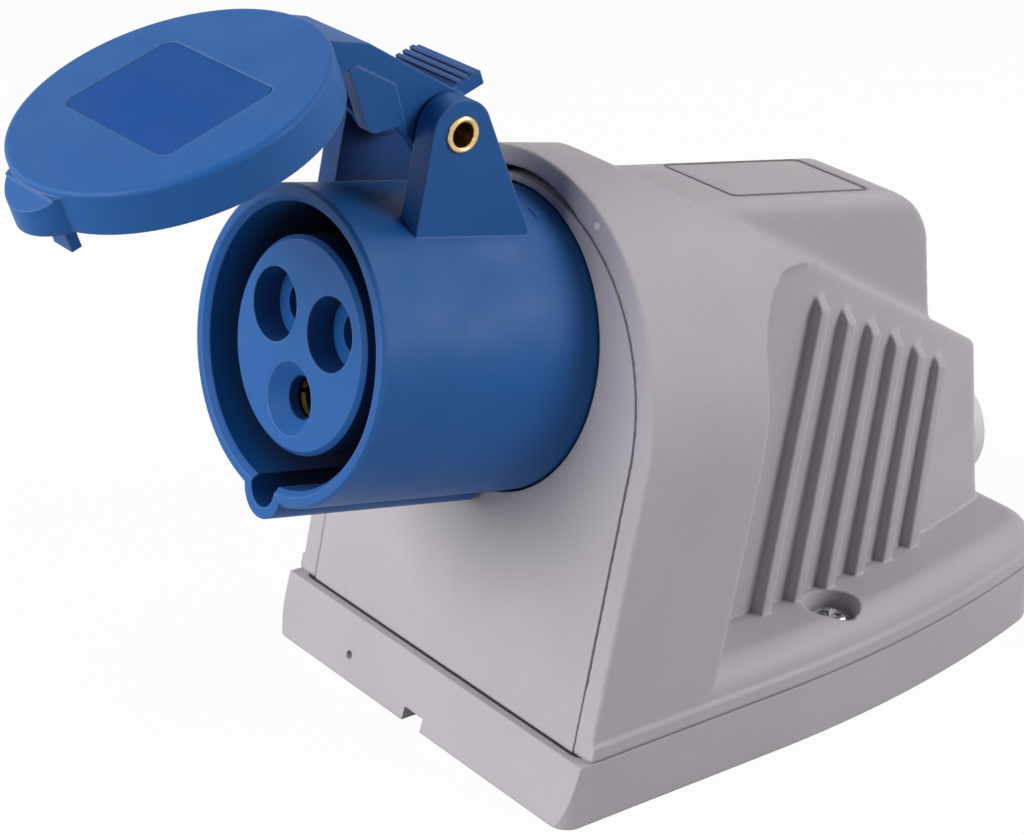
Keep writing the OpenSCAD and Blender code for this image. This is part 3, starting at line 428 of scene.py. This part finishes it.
def moulded_plastic(name, rgb, roughness, grain, edge, gloss, recess=0.0):
    """Moulded plastic: flow marks, fine grain, softened edges with a painted highlight, and painted shade
    in recesses when a reach is given.
    """
    s = Finish(name)
    flow = s.ramp(s.noise(FLOW_MARKS, detail=4.0), tint(rgb, 0.955), tint(rgb, 1.04))
    specks = s.ramp(s.noise(SPECKS, detail=2.0), tint(WHITE, 0.965), WHITE, (0.25, 0.5))
    soft = s.node("ShaderNodeBevel", samples=6, Radius=edge).outputs["Normal"]
    tone = s.mix(1.0, flow, specks, "MULTIPLY")
    # Painted highlight: the colour is lightened where the softened edge turns away from the face.
    tone = s.mix(s.edge_share(soft), tone, edge_highlight(rgb))
    # Painted shade: deep in a recess the colour goes towards a near-black purple.
    if recess:
        tone = s.mix(s.unshaded_share(recess), PAINTED_SHADE_TONE, tone)
    dull = s.spread(s.noise(RUBBED_SPOTS, detail=5.0), roughness - 0.05, roughness + 0.07)
    wave = s.bump(s.noise(WAVES, detail=1.0), strength=0.06, depth=0.3 * MM)
    skin = s.bump(s.noise(grain, detail=2.0), strength=0.1, depth=0.03 * MM)
    s.feed(wave.inputs["Normal"], soft)
    s.feed(skin.inputs["Normal"], wave.outputs["Normal"])
    return s.done(
        Base_Color=tone, Roughness=dull, Normal=skin.outputs["Normal"], IOR=1.49, Specular_IOR_Level=gloss
    )


def turned_metal(name, rgb, roughness):
    """Turned or plated metal with fine tool marks and slight tarnish."""
    s = Finish(name)
    tarnish = s.noise(TARNISH, detail=5.0)
    tone = s.ramp(tarnish, tint(rgb, 0.78), tint(rgb, 1.08))
    dull = s.spread(tarnish, roughness + 0.1, roughness - 0.06)
    marks = s.bump(s.noise(TOOL_MARKS, detail=2.0), strength=0.12, depth=0.02 * MM)
    return s.done(Base_Color=tone, Roughness=dull, Normal=marks.outputs["Normal"], Metallic=1.0)


def soft_rubber(name, rgb):
    """Dull black rubber with a powdery bloom."""
    s = Finish(name)
    bloom = s.noise(BLOOM, detail=4.0)
    tone = s.ramp(bloom, rgb, tint(rgb, 1.9))
    pores = s.bump(s.noise(PORES, detail=2.0), strength=0.2, depth=0.04 * MM)
    return s.done(Base_Color=tone, Roughness=s.spread(bloom, 0.62, 0.82), Normal=pores.outputs["Normal"])


def dress(material, *nodes):
    for name in nodes:
        mesh = frame["nodes"][name].data
        mesh.materials.clear()
        mesh.materials.append(material)


def placed(name, thing):
    """A new object of a mesh, light or camera in the scene."""
    made = bpy.data.objects.new(name, thing)
    bpy.context.scene.collection.objects.link(made)
    return made


def settled(thing):
    """The thing's mesh with its modifiers worked in, and the thing itself taken out of the scene."""
    mesh = bpy.data.meshes.new_from_object(thing.evaluated_get(bpy.context.evaluated_depsgraph_get()))
    bpy.data.objects.remove(thing)
    return mesh


def add_piece(name, mesh, body, slot, material, *nodes):
    """Puts a new mesh in the scene, on a body of the frame, in place of the nodes it stands for."""
    mesh.materials.clear()
    mesh.materials.append(material)
    piece = placed(name, mesh)
    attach(piece, body)
    if nodes:
        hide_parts(*nodes)


def ring(bm, centre, side, front, radius, steps):
    """A round of points about a centre, in the plane of two directions."""
    turns = [2 * math.pi * k / steps for k in range(steps)]
    return [bm.verts.new(centre + (side * math.cos(a) + front * math.sin(a)) * radius) for a in turns]


def join_rings(bm, rings, closed=False):
    """Closes the bands between rings of as many points, and then the loop of rings or else its two ends."""
    following = rings[1:]
    if closed:
        following.append(rings[0])
    else:
        bm.faces.new(list(reversed(rings[0])))
        bm.faces.new(rings[-1])
    for low, high in zip(rings, following):
        for k in range(len(low)):
            j = (k + 1) % len(low)
            bm.faces.new((low[k], low[j], high[j], high[k]))


def lathe(bm, profile, centre, axis, closed=False, steps=64):
    """Turns a profile of (radius, height) points about an axis and adds it to the mesh."""
    side = axis.orthogonal().normalized()
    front = axis.cross(side)
    rings = [ring(bm, centre + axis * height, side, front, radius, steps) for radius, height in profile]
    join_rings(bm, rings, closed)


def rounded_outline(width, height, corner, steps=8):
    """Points round a rectangle with round corners, about its middle."""
    points = []
    for quarter, (sx, sy) in enumerate(((1, 1), (-1, 1), (-1, -1), (1, -1))):
        for step in range(steps + 1):
            a = math.radians(90 * (quarter + step / steps))
            x = sx * (width / 2 - corner) + corner * math.cos(a)
            y = sy * (height / 2 - corner) + corner * math.sin(a)
            points.append((x, y))
    return points


def finished_mesh(name, bm, sharp=35):
    """The mesh with its normals outwards, smooth but for edges sharper than the angle in degrees."""
    bmesh.ops.recalc_face_normals(bm, faces=bm.faces)
    mesh = bpy.data.meshes.new(name)
    bm.to_mesh(mesh)
    bm.free()
    for face in mesh.polygons:
        face.use_smooth = True
    mesh.set_sharp_from_angle(angle=math.radians(sharp))
    return mesh


def clamped(value):
    return max(0.0, min(1.0, value))


def hood_softness(at):
    """How far the moulding is eased at a point: most at the roof and the wiring box, least at the fins."""
    if at.z < LEDGE_TOP + FOOT_BAND:
        return 0.0
    below = (ROOF_END - at).dot(ROOF)
    rear = 1.0 if abs(at.x) < WIRING_HALF else clamped(2 - below / ROOF_BAND)
    back = clamped((at.y - FLANK_REAR) / FRONT_BLEND)
    return FRONT_SOFTNESS + (rear - FRONT_SOFTNESS) * back


def inside_outline(x, y):
    """How far a point lies inside the tray's outline, and the outline's outward direction there."""
    side = math.copysign(1.0, x)
    x = abs(x)
    bow = Vector((TRAY_HIGH.x - BOW_RADIUS, BOW_START))
    corner_y = TRAY_HIGH.y - CORNER_RADIUS
    corner_x = bow.x + math.sqrt((BOW_RADIUS - CORNER_RADIUS) ** 2 - (corner_y - BOW_START) ** 2)
    if y <= BOW_START:
        return TRAY_HIGH.x - x, Vector((side, 0.0, 0.0))
    if y > corner_y and x <= corner_x:
        return TRAY_HIGH.y - y, Vector((0.0, 1.0, 0.0))
    turn = math.atan2(corner_y - BOW_START, corner_x - bow.x)
    arm = Vector((x - corner_x, y - corner_y))
    reach = CORNER_RADIUS
    if y <= corner_y or math.atan2(arm.y, arm.x) <= turn:
        arm = Vector((x, y)) - bow
        reach = BOW_RADIUS
    way = arm.normalized()
    return reach - arm.length, Vector((side * way.x, way.y, 0.0))


def even_ledge(bm):
    """Brings the stretches of the ledge, and the screw bosses in it, to one rounded section."""
    middle = LEDGE_TOP - LEDGE_ROUND
    for v in bm.verts:
        if v.co.y < FLANK_REAR or not middle - LEDGE_SLACK < v.co.z < LEDGE_TOP + LEDGE_SLACK:
            continue
        depth, out = inside_outline(v.co.x, v.co.y)
        run = LEDGE_STEP + LEDGE_ROUND - depth
        rise = v.co.z - middle
        reach = math.hypot(run, rise)
        boss = (Vector((abs(v.co.x), v.co.y)) - SCREW_AT.xy).length < BOSS_RADIUS
        if run <= 0 and depth < LEDGE_WIDTH and rise > LEDGE_ROUND - LEDGE_SLACK:
            v.co.z = LEDGE_TOP
        elif 0 < run < LEDGE_ROUND and boss and reach > LEDGE_ROUND:
            v.co.z = middle + math.sqrt(LEDGE_ROUND**2 - run**2)
        elif run > 0 and rise > 0 and abs(reach - LEDGE_ROUND) < LEDGE_SLACK:
            v.co += out * run * (LEDGE_ROUND / reach - 1)
            v.co.z = middle + rise * LEDGE_ROUND / reach
    bmesh.ops.remove_doubles(bm, verts=bm.verts, dist=MERGE_REACH)
    bmesh.ops.dissolve_degenerate(bm, edges=bm.edges, dist=FLAW_REACH)


def close_folds(bm):
    """Patches the small folds where each flank's arc runs out at the roof."""
    for side in (-1, 1):
        end = Vector((side * ARC_END.x, ARC_END.y, ARC_END.z))
        near = [v for v in bm.verts if (v.co - end).length < ARC_REACH]
        bmesh.ops.delete(bm, geom=near, context="VERTS")
    patch = bmesh.ops.holes_fill(bm, edges=[e for e in bm.edges if e.is_boundary], sides=0)
    bmesh.ops.triangulate(bm, faces=patch["faces"])


def cast_hood(fineness):
    """A fine closed skin over the hood's solid, with its ledge and arcs mended."""
    cast = placed("Hood_cast", frame["nodes"]["hood"].data.copy())
    skin = cast.modifiers.new("Skin", "REMESH")
    skin.mode = "SHARP"
    skin.octree_depth = fineness
    skin.scale = SKIN_SCALE
    skin.use_remove_disconnected = False
    mesh = settled(cast)
    bm = bmesh.new()
    bm.from_mesh(mesh)
    even_ledge(bm)
    close_folds(bm)
    bm.to_mesh(mesh)
    bm.free()
    return mesh


def moulded_hood(fineness):
    """The hood with its outer edges eased as a mould eases them."""
    mesh = cast_hood(fineness)
    eased = placed("Hood_eased", mesh)
    soft = eased.vertex_groups.new(name="Soft")
    for v in mesh.vertices:
        weight = hood_softness(v.co)
        if weight:
            soft.add([v.index], weight, "REPLACE")
    for group, rounds in (("Soft", SOFT_ROUNDS), ("", ALL_ROUNDS)):
        ease = eased.modifiers.new("Ease", "SMOOTH")
        ease.factor = EASE
        ease.iterations = rounds
        ease.vertex_group = group
    thin = eased.modifiers.new("Thin", "DECIMATE")
    thin.ratio = min(1.0, HOOD_FACES / len(mesh.polygons))
    mesh = settled(eased)
    mesh.name = "Hood_moulding"
    for face in mesh.polygons:
        face.use_smooth = True
    return mesh


class SOCKET_OT_housing(Operator):
    """Makes the hood's soft-edged moulding and gives the housing its grey plastic"""

    bl_idname = "socket.housing"
    bl_label = "Housing"

    def execute(self, context):
        f = context.scene.socket_finishes
        grey = moulded_plastic("Grey_plastic", f.grey, f.grey_roughness, f.grain, f.edge, f.gloss)
        dress(grey, "back_box", "front_panel")
        mesh = moulded_hood(context.scene.socket_sizes.hood_skin)
        add_piece("Hood_moulding", mesh, "housing", "housing_grey", grey, "hood")
        return {"FINISHED"}


def plate_seam(seam):
    """The narrow seam round the plate on the wiring box's top, with round corners; its darker grey is
    painted shade of the groove.
    """
    bm = bmesh.new()
    middle = PLATE_START + PLATE_LENGTH / 2
    rings = []
    for inset, rise in ((0.0, SEAM_RISE), (seam, SEAM_RISE), (seam, -SEAM_DEPTH), (0.0, -SEAM_DEPTH)):
        width, height = PLATE_WIDTH - 2 * inset, PLATE_LENGTH - 2 * inset
        outline = rounded_outline(width, height, PLATE_CORNER - inset)
        rings.append([bm.verts.new(on_wiring_top(x, middle + y, rise)) for x, y in outline])
    join_rings(bm, rings, closed=True)
    return finished_mesh("Plate_seam", bm)


class SOCKET_OT_plate_seam(Operator):
    """Lays the seam round the plate on the wiring box, its grey darkened as painted shade of the groove"""

    bl_idname = "socket.plate_seam"
    bl_label = "Plate seam"

    def execute(self, context):
        f = context.scene.socket_finishes
        # Painted shade: the seam's grey is darkened to stand for the shade in the plate's groove.
        tone = tint(f.grey, f.seam_shade_tone)
        edge = f.fine_edge / 2
        dark = moulded_plastic("Seam_grey", tone, f.seam_roughness, f.grain, edge, f.seam_gloss)
        mesh = plate_seam(context.scene.socket_sizes.seam)
        add_piece("Plate_seam", mesh, "housing", "housing_grey", dark)
        return {"FINISHED"}


def low_dot(centre, axis, radius, height):
    """A low round dot with a soft edge, sunk by its own height."""
    bm = bmesh.new()
    profile = [(radius, -height)]
    for a in range(0, 91, 15):
        turn = math.radians(a)
        profile.append((radius - height + height * math.cos(turn), height * math.sin(turn)))
    lathe(bm, profile, centre, axis, steps=32)
    return finished_mesh("Index_dot", bm)


class SOCKET_OT_index_dot(Operator):
    """Puts the pale index dot on the hood's rim"""

    bl_idname = "socket.index_dot"
    bl_label = "Index dot"

    def execute(self, context):
        f = context.scene.socket_finishes
        mesh = low_dot(on_outlet(*DOT_AT), ALONG, context.scene.socket_sizes.dot, DOT_RISE)
        pale = moulded_plastic("Pale_dot", f.nylon, f.nylon_roughness, f.grain, f.edge, f.gloss)
        add_piece("Index_dot", mesh, "housing", "gland_nylon", pale)
        return {"FINISHED"}


class SOCKET_OT_outlet(Operator):
    """Gives the outlet's shell, carrier and retainer and the lid their blue moulded plastic"""

    bl_idname = "socket.outlet"
    bl_label = "Outlet"

    def execute(self, context):
        f = context.scene.socket_finishes
        # The blue plastic has shade painted into its recesses.
        blue = moulded_plastic(
            "Blue_plastic", f.blue, f.blue_roughness, f.grain, f.edge, f.gloss, f.recess
        )
        dress(blue, "socket_shell", "contact_carrier", "contact_retainer", "lid")
        return {"FINISHED"}


def raised_triangle(width, height):
    """A low triangle on the shell that points at the housing, with sloping sides."""
    bm = bmesh.new()
    rings = []
    for part, rise in ((1.0, -MARK_RISE), (1.0, 0.3 * MARK_RISE), (0.8, MARK_RISE)):
        corners = []
        for across, along in ((0.0, -2 / 3), (0.5, 1 / 3), (-0.5, 1 / 3)):
            turn = MARK_TURN + part * across * width / SHELL_RADIUS
            corners.append(bm.verts.new(on_shell(turn, MARK_OUT + part * along * height, rise)))
        rings.append(corners)
    join_rings(bm, rings)
    return finished_mesh("Turn_mark", bm)


class SOCKET_OT_turn_mark(Operator):
    """Raises the small triangle on the shell that shows which way the outlet turns"""

    bl_idname = "socket.turn_mark"
    bl_label = "Turn mark"

    def execute(self, context):
        f = context.scene.socket_finishes
        sizes = context.scene.socket_sizes
        blue = moulded_plastic("Blue_mark", f.blue, f.blue_roughness, f.grain, f.fine_edge, f.gloss)
        mesh = raised_triangle(sizes.mark_width, sizes.mark_length)
        add_piece("Turn_mark", mesh, "outlet", "outlet_blue", blue)
        return {"FINISHED"}


def pocket_shoulders(height):
    """The shoulders in the two live holes, round the bores of their contacts."""
    bm = bmesh.new()
    section = ((POCKET_RADIUS, 0.0), (POCKET_RADIUS, height), (BORE_RADIUS, height), (BORE_RADIUS, 0.0))
    for turn in LIVE_TURNS:
        centre = on_outlet(HOLE_RING * math.cos(turn), HOLE_RING * math.sin(turn), POCKET_FLOOR)
        lathe(bm, section, centre, ALONG, closed=True)
    return finished_mesh("Pocket_shoulders", bm)


class SOCKET_OT_pocket_shoulders(Operator):
    """Sets the blue shoulders into the two live holes"""

    bl_idname = "socket.pocket_shoulders"
    bl_label = "Pocket shoulders"

    def execute(self, context):
        f = context.scene.socket_finishes
        edge = 2 * f.fine_edge
        blue = moulded_plastic("Blue_shoulder", f.blue, f.blue_roughness, f.grain, edge, f.gloss)
        mesh = pocket_shoulders(context.scene.socket_sizes.shoulder)
        add_piece("Pocket_shoulders", mesh, "outlet", "outlet_blue", blue)
        return {"FINISHED"}


def label_plate(width, height, corner):
    """A thin plate with round corners on the lid's face."""
    bm = bmesh.new()
    outline = rounded_outline(width, height, corner)
    rings = []
    for n in (LABEL_FOOT, LABEL_FACE):
        rings.append([bm.verts.new(on_lid(x, u, n)) for x, u in outline])
    join_rings(bm, rings)
    return finished_mesh("Label_field", bm)


class SOCKET_OT_label_field(Operator):
    """Lays the bare, smooth label field into the lid"""

    bl_idname = "socket.label_field"
    bl_label = "Label field"

    def execute(self, context):
        f = context.scene.socket_finishes
        sizes = context.scene.socket_sizes
        smooth = moulded_plastic(
            "Blue_label", f.label, f.blue_roughness, 2 * f.grain, f.fine_edge, f.label_gloss
        )
        mesh = label_plate(sizes.label_width, sizes.label_height, sizes.label_corner)
        add_piece("Label_field", mesh, "lid", "outlet_blue", smooth)
        return {"FINISHED"}


class SOCKET_OT_contacts(Operator):
    """Gives the contacts a brass darkened as painted shade of their deep holes, and the inner screws and
    clips their plated steel
    """

    bl_idname = "socket.contacts"
    bl_label = "Contacts and inner screws"

    def execute(self, context):
        f = context.scene.socket_finishes
        # Painted shade: the contacts' colour is near black so the deep live holes read dark.
        brass = turned_metal("Dull_brass", f.contact, f.contact_roughness)
        dress(brass, "line_contact", "neutral_contact", "earth_contact")
        steel = turned_metal("Plated_steel", f.steel, f.plated_roughness)
        dress(steel, "contact_clips", "terminal_screws", "carrier_screw", "panel_screws")
        return {"FINISHED"}


def cross_recess(top):
    """The tapered cross that is pressed into a screw's head, as a cutter about the head's top."""
    bm = bmesh.new()
    for turn in (0, math.pi / 2):
        rings = []
        for z, part in ((-CROSS_DEPTH, 0.55), (CROSS_DEPTH, 1.45)):
            corners = []
            for x, y in ((-1, -1), (1, -1), (1, 1), (-1, 1)):
                half = CROSS_WIDTH / 2 * (0.7 + 0.3 * part)
                point = Vector((x * CROSS_REACH * part, y * half, top + z))
                point.rotate(Matrix.Rotation(turn, 3, "Z"))
                corners.append(bm.verts.new(point))
            rings.append(corners)
        join_rings(bm, rings)
    mesh = bpy.data.meshes.new("Cross")
    bm.to_mesh(mesh)
    bm.free()
    return mesh


def cut(mesh, cutter):
    """The mesh with the cutter's shape taken out of it."""
    whole = placed("Whole", mesh)
    tool = placed("Tool", cutter)
    taken = whole.modifiers.new("Taken", "BOOLEAN")
    taken.operation = "DIFFERENCE"
    taken.object = tool
    taken.use_self = True
    done = settled(whole)
    bpy.data.objects.remove(tool)
    return done


def pan_head_screw(sizes):
    """One cover screw about the origin: a rounded head with a cross recess, and its shank below."""
    bm = bmesh.new()
    r, h = sizes.head, sizes.head_height
    profile = [
        (SCREW_TIP, -sizes.shank_length),
        (sizes.shank, SCREW_POINT - sizes.shank_length),
        (sizes.shank, 0.0),
        (r - HEAD_RIM, 0.0),
        (r, HEAD_RIM),
    ]
    for a in range(0, 91, 9):
        across = 1 - HEAD_CROWN + HEAD_CROWN * math.cos(math.radians(a))
        up = 1 - HEAD_CROWN + HEAD_CROWN * math.sin(math.radians(a))
        profile.append((r * across, h * up))
    lathe(bm, profile, Vector(), Vector((0, 0, 1)))
    return cut(finished_mesh("Screw", bm), cross_recess(h))


class SOCKET_OT_cover_screws(Operator):
    """Turns the two plated cover screws"""

    bl_idname = "socket.cover_screws"
    bl_label = "Cover screws"

    def execute(self, context):
        f = context.scene.socket_finishes
        one = pan_head_screw(context.scene.socket_sizes)
        bm = bmesh.new()
        for side in (-1, 1):
            turned = one.copy()
            place = Vector((side * SCREW_AT.x, SCREW_AT.y, SCREW_AT.z))
            turned.transform(Matrix.Translation(place) @ Matrix.Rotation(SCREW_TURN, 4, "Z"))
            bm.from_mesh(turned)
        bright = turned_metal("Bright_steel", f.steel, f.screw_roughness)
        mesh = finished_mesh("Cover_screws_turned", bm, sharp=30)
        add_piece("Cover_screws_turned", mesh, "housing", "screw_steel", bright, "cover_screws")
        return {"FINISHED"}


def rolled_rivet(bore, roll):
    """A hollow rivet across the ears, with both ends rolled outwards."""
    bm = bmesh.new()
    end = []
    for a in range(180, -61, -20):
        turn = math.radians(a)
        end.append((bore + roll + roll * math.cos(turn), RIVET_HALF + roll * math.sin(turn)))
    end.append((RIVET_TUBE, RIVET_HALF - RIVET_NECK))
    profile = end + [(r, -z) for r, z in reversed(end)]
    lathe(bm, profile, on_outlet(0.0, PIN_UP, PIN_OUT), ACROSS, closed=True)
    return finished_mesh("Hinge_rivet", bm)


class SOCKET_OT_hinge_rivet(Operator):
    """Rolls the brass hinge rivet"""

    bl_idname = "socket.hinge_rivet"
    bl_label = "Hinge rivet"

    def execute(self, context):
        f = context.scene.socket_finishes
        sizes = context.scene.socket_sizes
        brass = turned_metal("Rivet_brass", f.brass, f.rivet_roughness)
        mesh = rolled_rivet(sizes.rivet_bore, sizes.rivet_roll)
        add_piece("Hinge_rivet", mesh, "outlet", "contact_brass", brass, "hinge_pin")
        return {"FINISHED"}


def wire_mesh(name, points, radius, sides=10):
    """A round wire along the points."""
    bm = bmesh.new()
    rings = []
    side = (points[1] - points[0]).orthogonal().normalized()
    for k, point in enumerate(points):
        way = (points[min(k + 1, len(points) - 1)] - points[max(k - 1, 0)]).normalized()
        side = (side - way * side.dot(way)).normalized()
        rings.append(ring(bm, point, side, way.cross(side), radius, sides))
    join_rings(bm, rings)
    return finished_mesh(name, bm, sharp=50)


def spring_path(coil, turns):
    """The lid spring: coils round the pin, then a leg that drops to the shell and runs back on it."""
    steps = COIL_STEPS * turns
    points = []
    for k in range(steps + 1):
        a = 2 * math.pi * (0.75 + turns * k / steps)
        x = SPRING_HALF * (2 * k / steps - 1)
        points.append(on_outlet(x, PIN_UP + coil * math.cos(a), PIN_OUT + coil * math.sin(a)))
    return points + [on_outlet(SPRING_HALF, u * MM, n * MM) for u, n in SPRING_LEG]


class SOCKET_OT_lid_spring(Operator):
    """Winds the lid's spring of round wire"""

    bl_idname = "socket.lid_spring"
    bl_label = "Lid spring"

    def execute(self, context):
        f = context.scene.socket_finishes
        sizes = context.scene.socket_sizes
        steel = turned_metal("Spring_steel", f.steel, f.spring_roughness)
        mesh = wire_mesh("Lid_spring_wire", spring_path(sizes.coil, sizes.turns), sizes.wire)
        add_piece("Lid_spring_wire", mesh, "outlet", "screw_steel", steel, "lid_spring")
        return {"FINISHED"}


class SOCKET_OT_seals(Operator):
    """Gives the seals their black rubber"""

    bl_idname = "socket.seals"
    bl_label = "Seals"

    def execute(self, context):
        rubber = soft_rubber("Black_rubber", context.scene.socket_finishes.rubber)
        dress(rubber, "base_seal", "shell_seal", "lid_gasket", "gland_seal")
        return {"FINISHED"}


class SOCKET_OT_gland(Operator):
    """Gives the cable gland its pale nylon"""

    bl_idname = "socket.gland"
    bl_label = "Cable gland"

    def execute(self, context):
        f = context.scene.socket_finishes
        nylon = moulded_plastic("Pale_nylon", f.nylon, f.nylon_roughness, f.grain, f.edge, f.gloss)
        dress(nylon, "gland_body", "gland_nut", "gland_locknut")
        return {"FINISHED"}


def area_light(name, place, watts):
    """A large round light that faces the socket."""
    lamp = bpy.data.lights.new(name, "AREA")
    lamp.shape = "DISK"
    lamp.size = LIGHT_SIZE
    lamp.energy = watts
    made = placed(name, lamp)
    made.location = place
    made.rotation_euler = (LIGHT_TARGET - Vector(place)).to_track_quat("-Z", "Y").to_euler()


def studio_white():
    """White paint that glows evenly where it is seen and still takes the socket's shadow."""
    white = bpy.data.materials.new("Studio_white")
    s = Nodes(white)
    seen = s.seen_ray()
    paint = s.node("ShaderNodeBsdfDiffuse", Color=s.remap(seen, 0.0, 1.0, FLOOR_PAINT, 1.0))
    glow = s.node("ShaderNodeEmission")
    mix = s.node("ShaderNodeMixShader", Fac=s.remap(seen, 0.0, 1.0, 0.0, FLOOR_GLOW))
    s.feed(mix.inputs[1], paint.outputs["BSDF"])
    s.feed(mix.inputs[2], glow.outputs["Emission"])
    s.node("ShaderNodeOutputMaterial", Surface=mix.outputs["Shader"])
    return white


def studio_floor():
    """A wide white floor just under the socket."""
    bm = bmesh.new()
    bmesh.ops.create_grid(bm, x_segments=2, y_segments=2, size=FLOOR_HALF)
    mesh = bpy.data.meshes.new("Studio_floor")
    bm.to_mesh(mesh)
    bm.free()
    mesh.materials.append(studio_white())
    floor = placed("Studio_floor", mesh)
    floor.location.z = -FLOOR_DROP


def studio_sky(strength):
    """An even sky: faint as a light, and white where it is seen."""
    world = bpy.data.worlds.new("Studio_sky")
    s = Nodes(world)
    level = s.remap(s.seen_ray(), 0.0, 1.0, strength, 1.0)
    sky = s.node("ShaderNodeBackground", Color=(*WHITE, 1.0), Strength=level)
    s.node("ShaderNodeOutputWorld", Surface=sky.outputs["Background"])
    bpy.context.scene.world = world


def studio_camera(st):
    """The camera, turned, raised and rolled about the point it faces."""
    a, e, r = st.azimuth, st.elevation, st.roll
    back = Vector((math.sin(a) * math.cos(e), -math.cos(a) * math.cos(e), math.sin(e)))
    right = Vector((math.cos(a), math.sin(a), 0.0))
    up = back.cross(right)
    tipped_right = right * math.cos(r) + up * math.sin(r)
    tipped_up = up * math.cos(r) - right * math.sin(r)
    turn = Matrix((tipped_right, tipped_up, back)).transposed()
    lens = bpy.data.cameras.new("Studio_camera")
    lens.sensor_fit = "HORIZONTAL"
    lens.sensor_width = SENSOR_WIDTH
    lens.lens = st.lens
    lens.clip_start = 0.01
    camera = placed("Studio_camera", lens)
    camera.matrix_world = Matrix.Translation(CAMERA_TARGET + back * st.distance) @ turn.to_4x4()
    bpy.context.scene.camera = camera


class SOCKET_OT_studio(Operator):
    """Builds the pale floor, the soft lights and the camera"""

    bl_idname = "socket.studio"
    bl_label = "Studio"

    def execute(self, context):
        st = context.scene.socket_studio
        context.scene.view_settings.view_transform = "Standard"
        studio_floor()
        studio_sky(st.sky)
        for name, place in LIGHT_PLACES.items():
            area_light(f"{name.capitalize()}_light", place, getattr(st, name))
        studio_camera(st)
        return {"FINISHED"}


STEPS = (
    SOCKET_OT_housing,
    SOCKET_OT_plate_seam,
    SOCKET_OT_index_dot,
    SOCKET_OT_outlet,
    SOCKET_OT_turn_mark,
    SOCKET_OT_pocket_shoulders,
    SOCKET_OT_label_field,
    SOCKET_OT_contacts,
    SOCKET_OT_cover_screws,
    SOCKET_OT_hinge_rivet,
    SOCKET_OT_lid_spring,
    SOCKET_OT_seals,
    SOCKET_OT_gland,
    SOCKET_OT_studio,
)


class SOCKET_PT_panel(Panel):
    """Lists the steps that dress the socket"""

    bl_idname = "SOCKET_PT_panel"
    bl_label = "Wall socket"
    bl_space_type = "VIEW_3D"
    bl_region_type = "UI"
    bl_category = "Socket"

    def draw(self, context):
        for step in STEPS:
            self.layout.operator(step.bl_idname)


GROUPS = (
    ("socket_finishes", SocketFinishes),
    ("socket_sizes", SocketSizes),
    ("socket_studio", SocketStudio),
)


def register():
    for name, group in GROUPS:
        bpy.utils.register_class(group)
        setattr(bpy.types.Scene, name, PointerProperty(type=group))
    for step in STEPS:
        bpy.utils.register_class(step)
    bpy.utils.register_class(SOCKET_PT_panel)


def unregister():
    bpy.utils.unregister_class(SOCKET_PT_panel)
    for step in reversed(STEPS):
        bpy.utils.unregister_class(step)
    for name, group in reversed(GROUPS):
        delattr(bpy.types.Scene, name)
        bpy.utils.unregister_class(group)


def main():
    register()
    for step in STEPS:
        section, action = step.bl_idname.split(".")
        getattr(getattr(bpy.ops, section), action)()


if __name__ == "__main__":
    main()
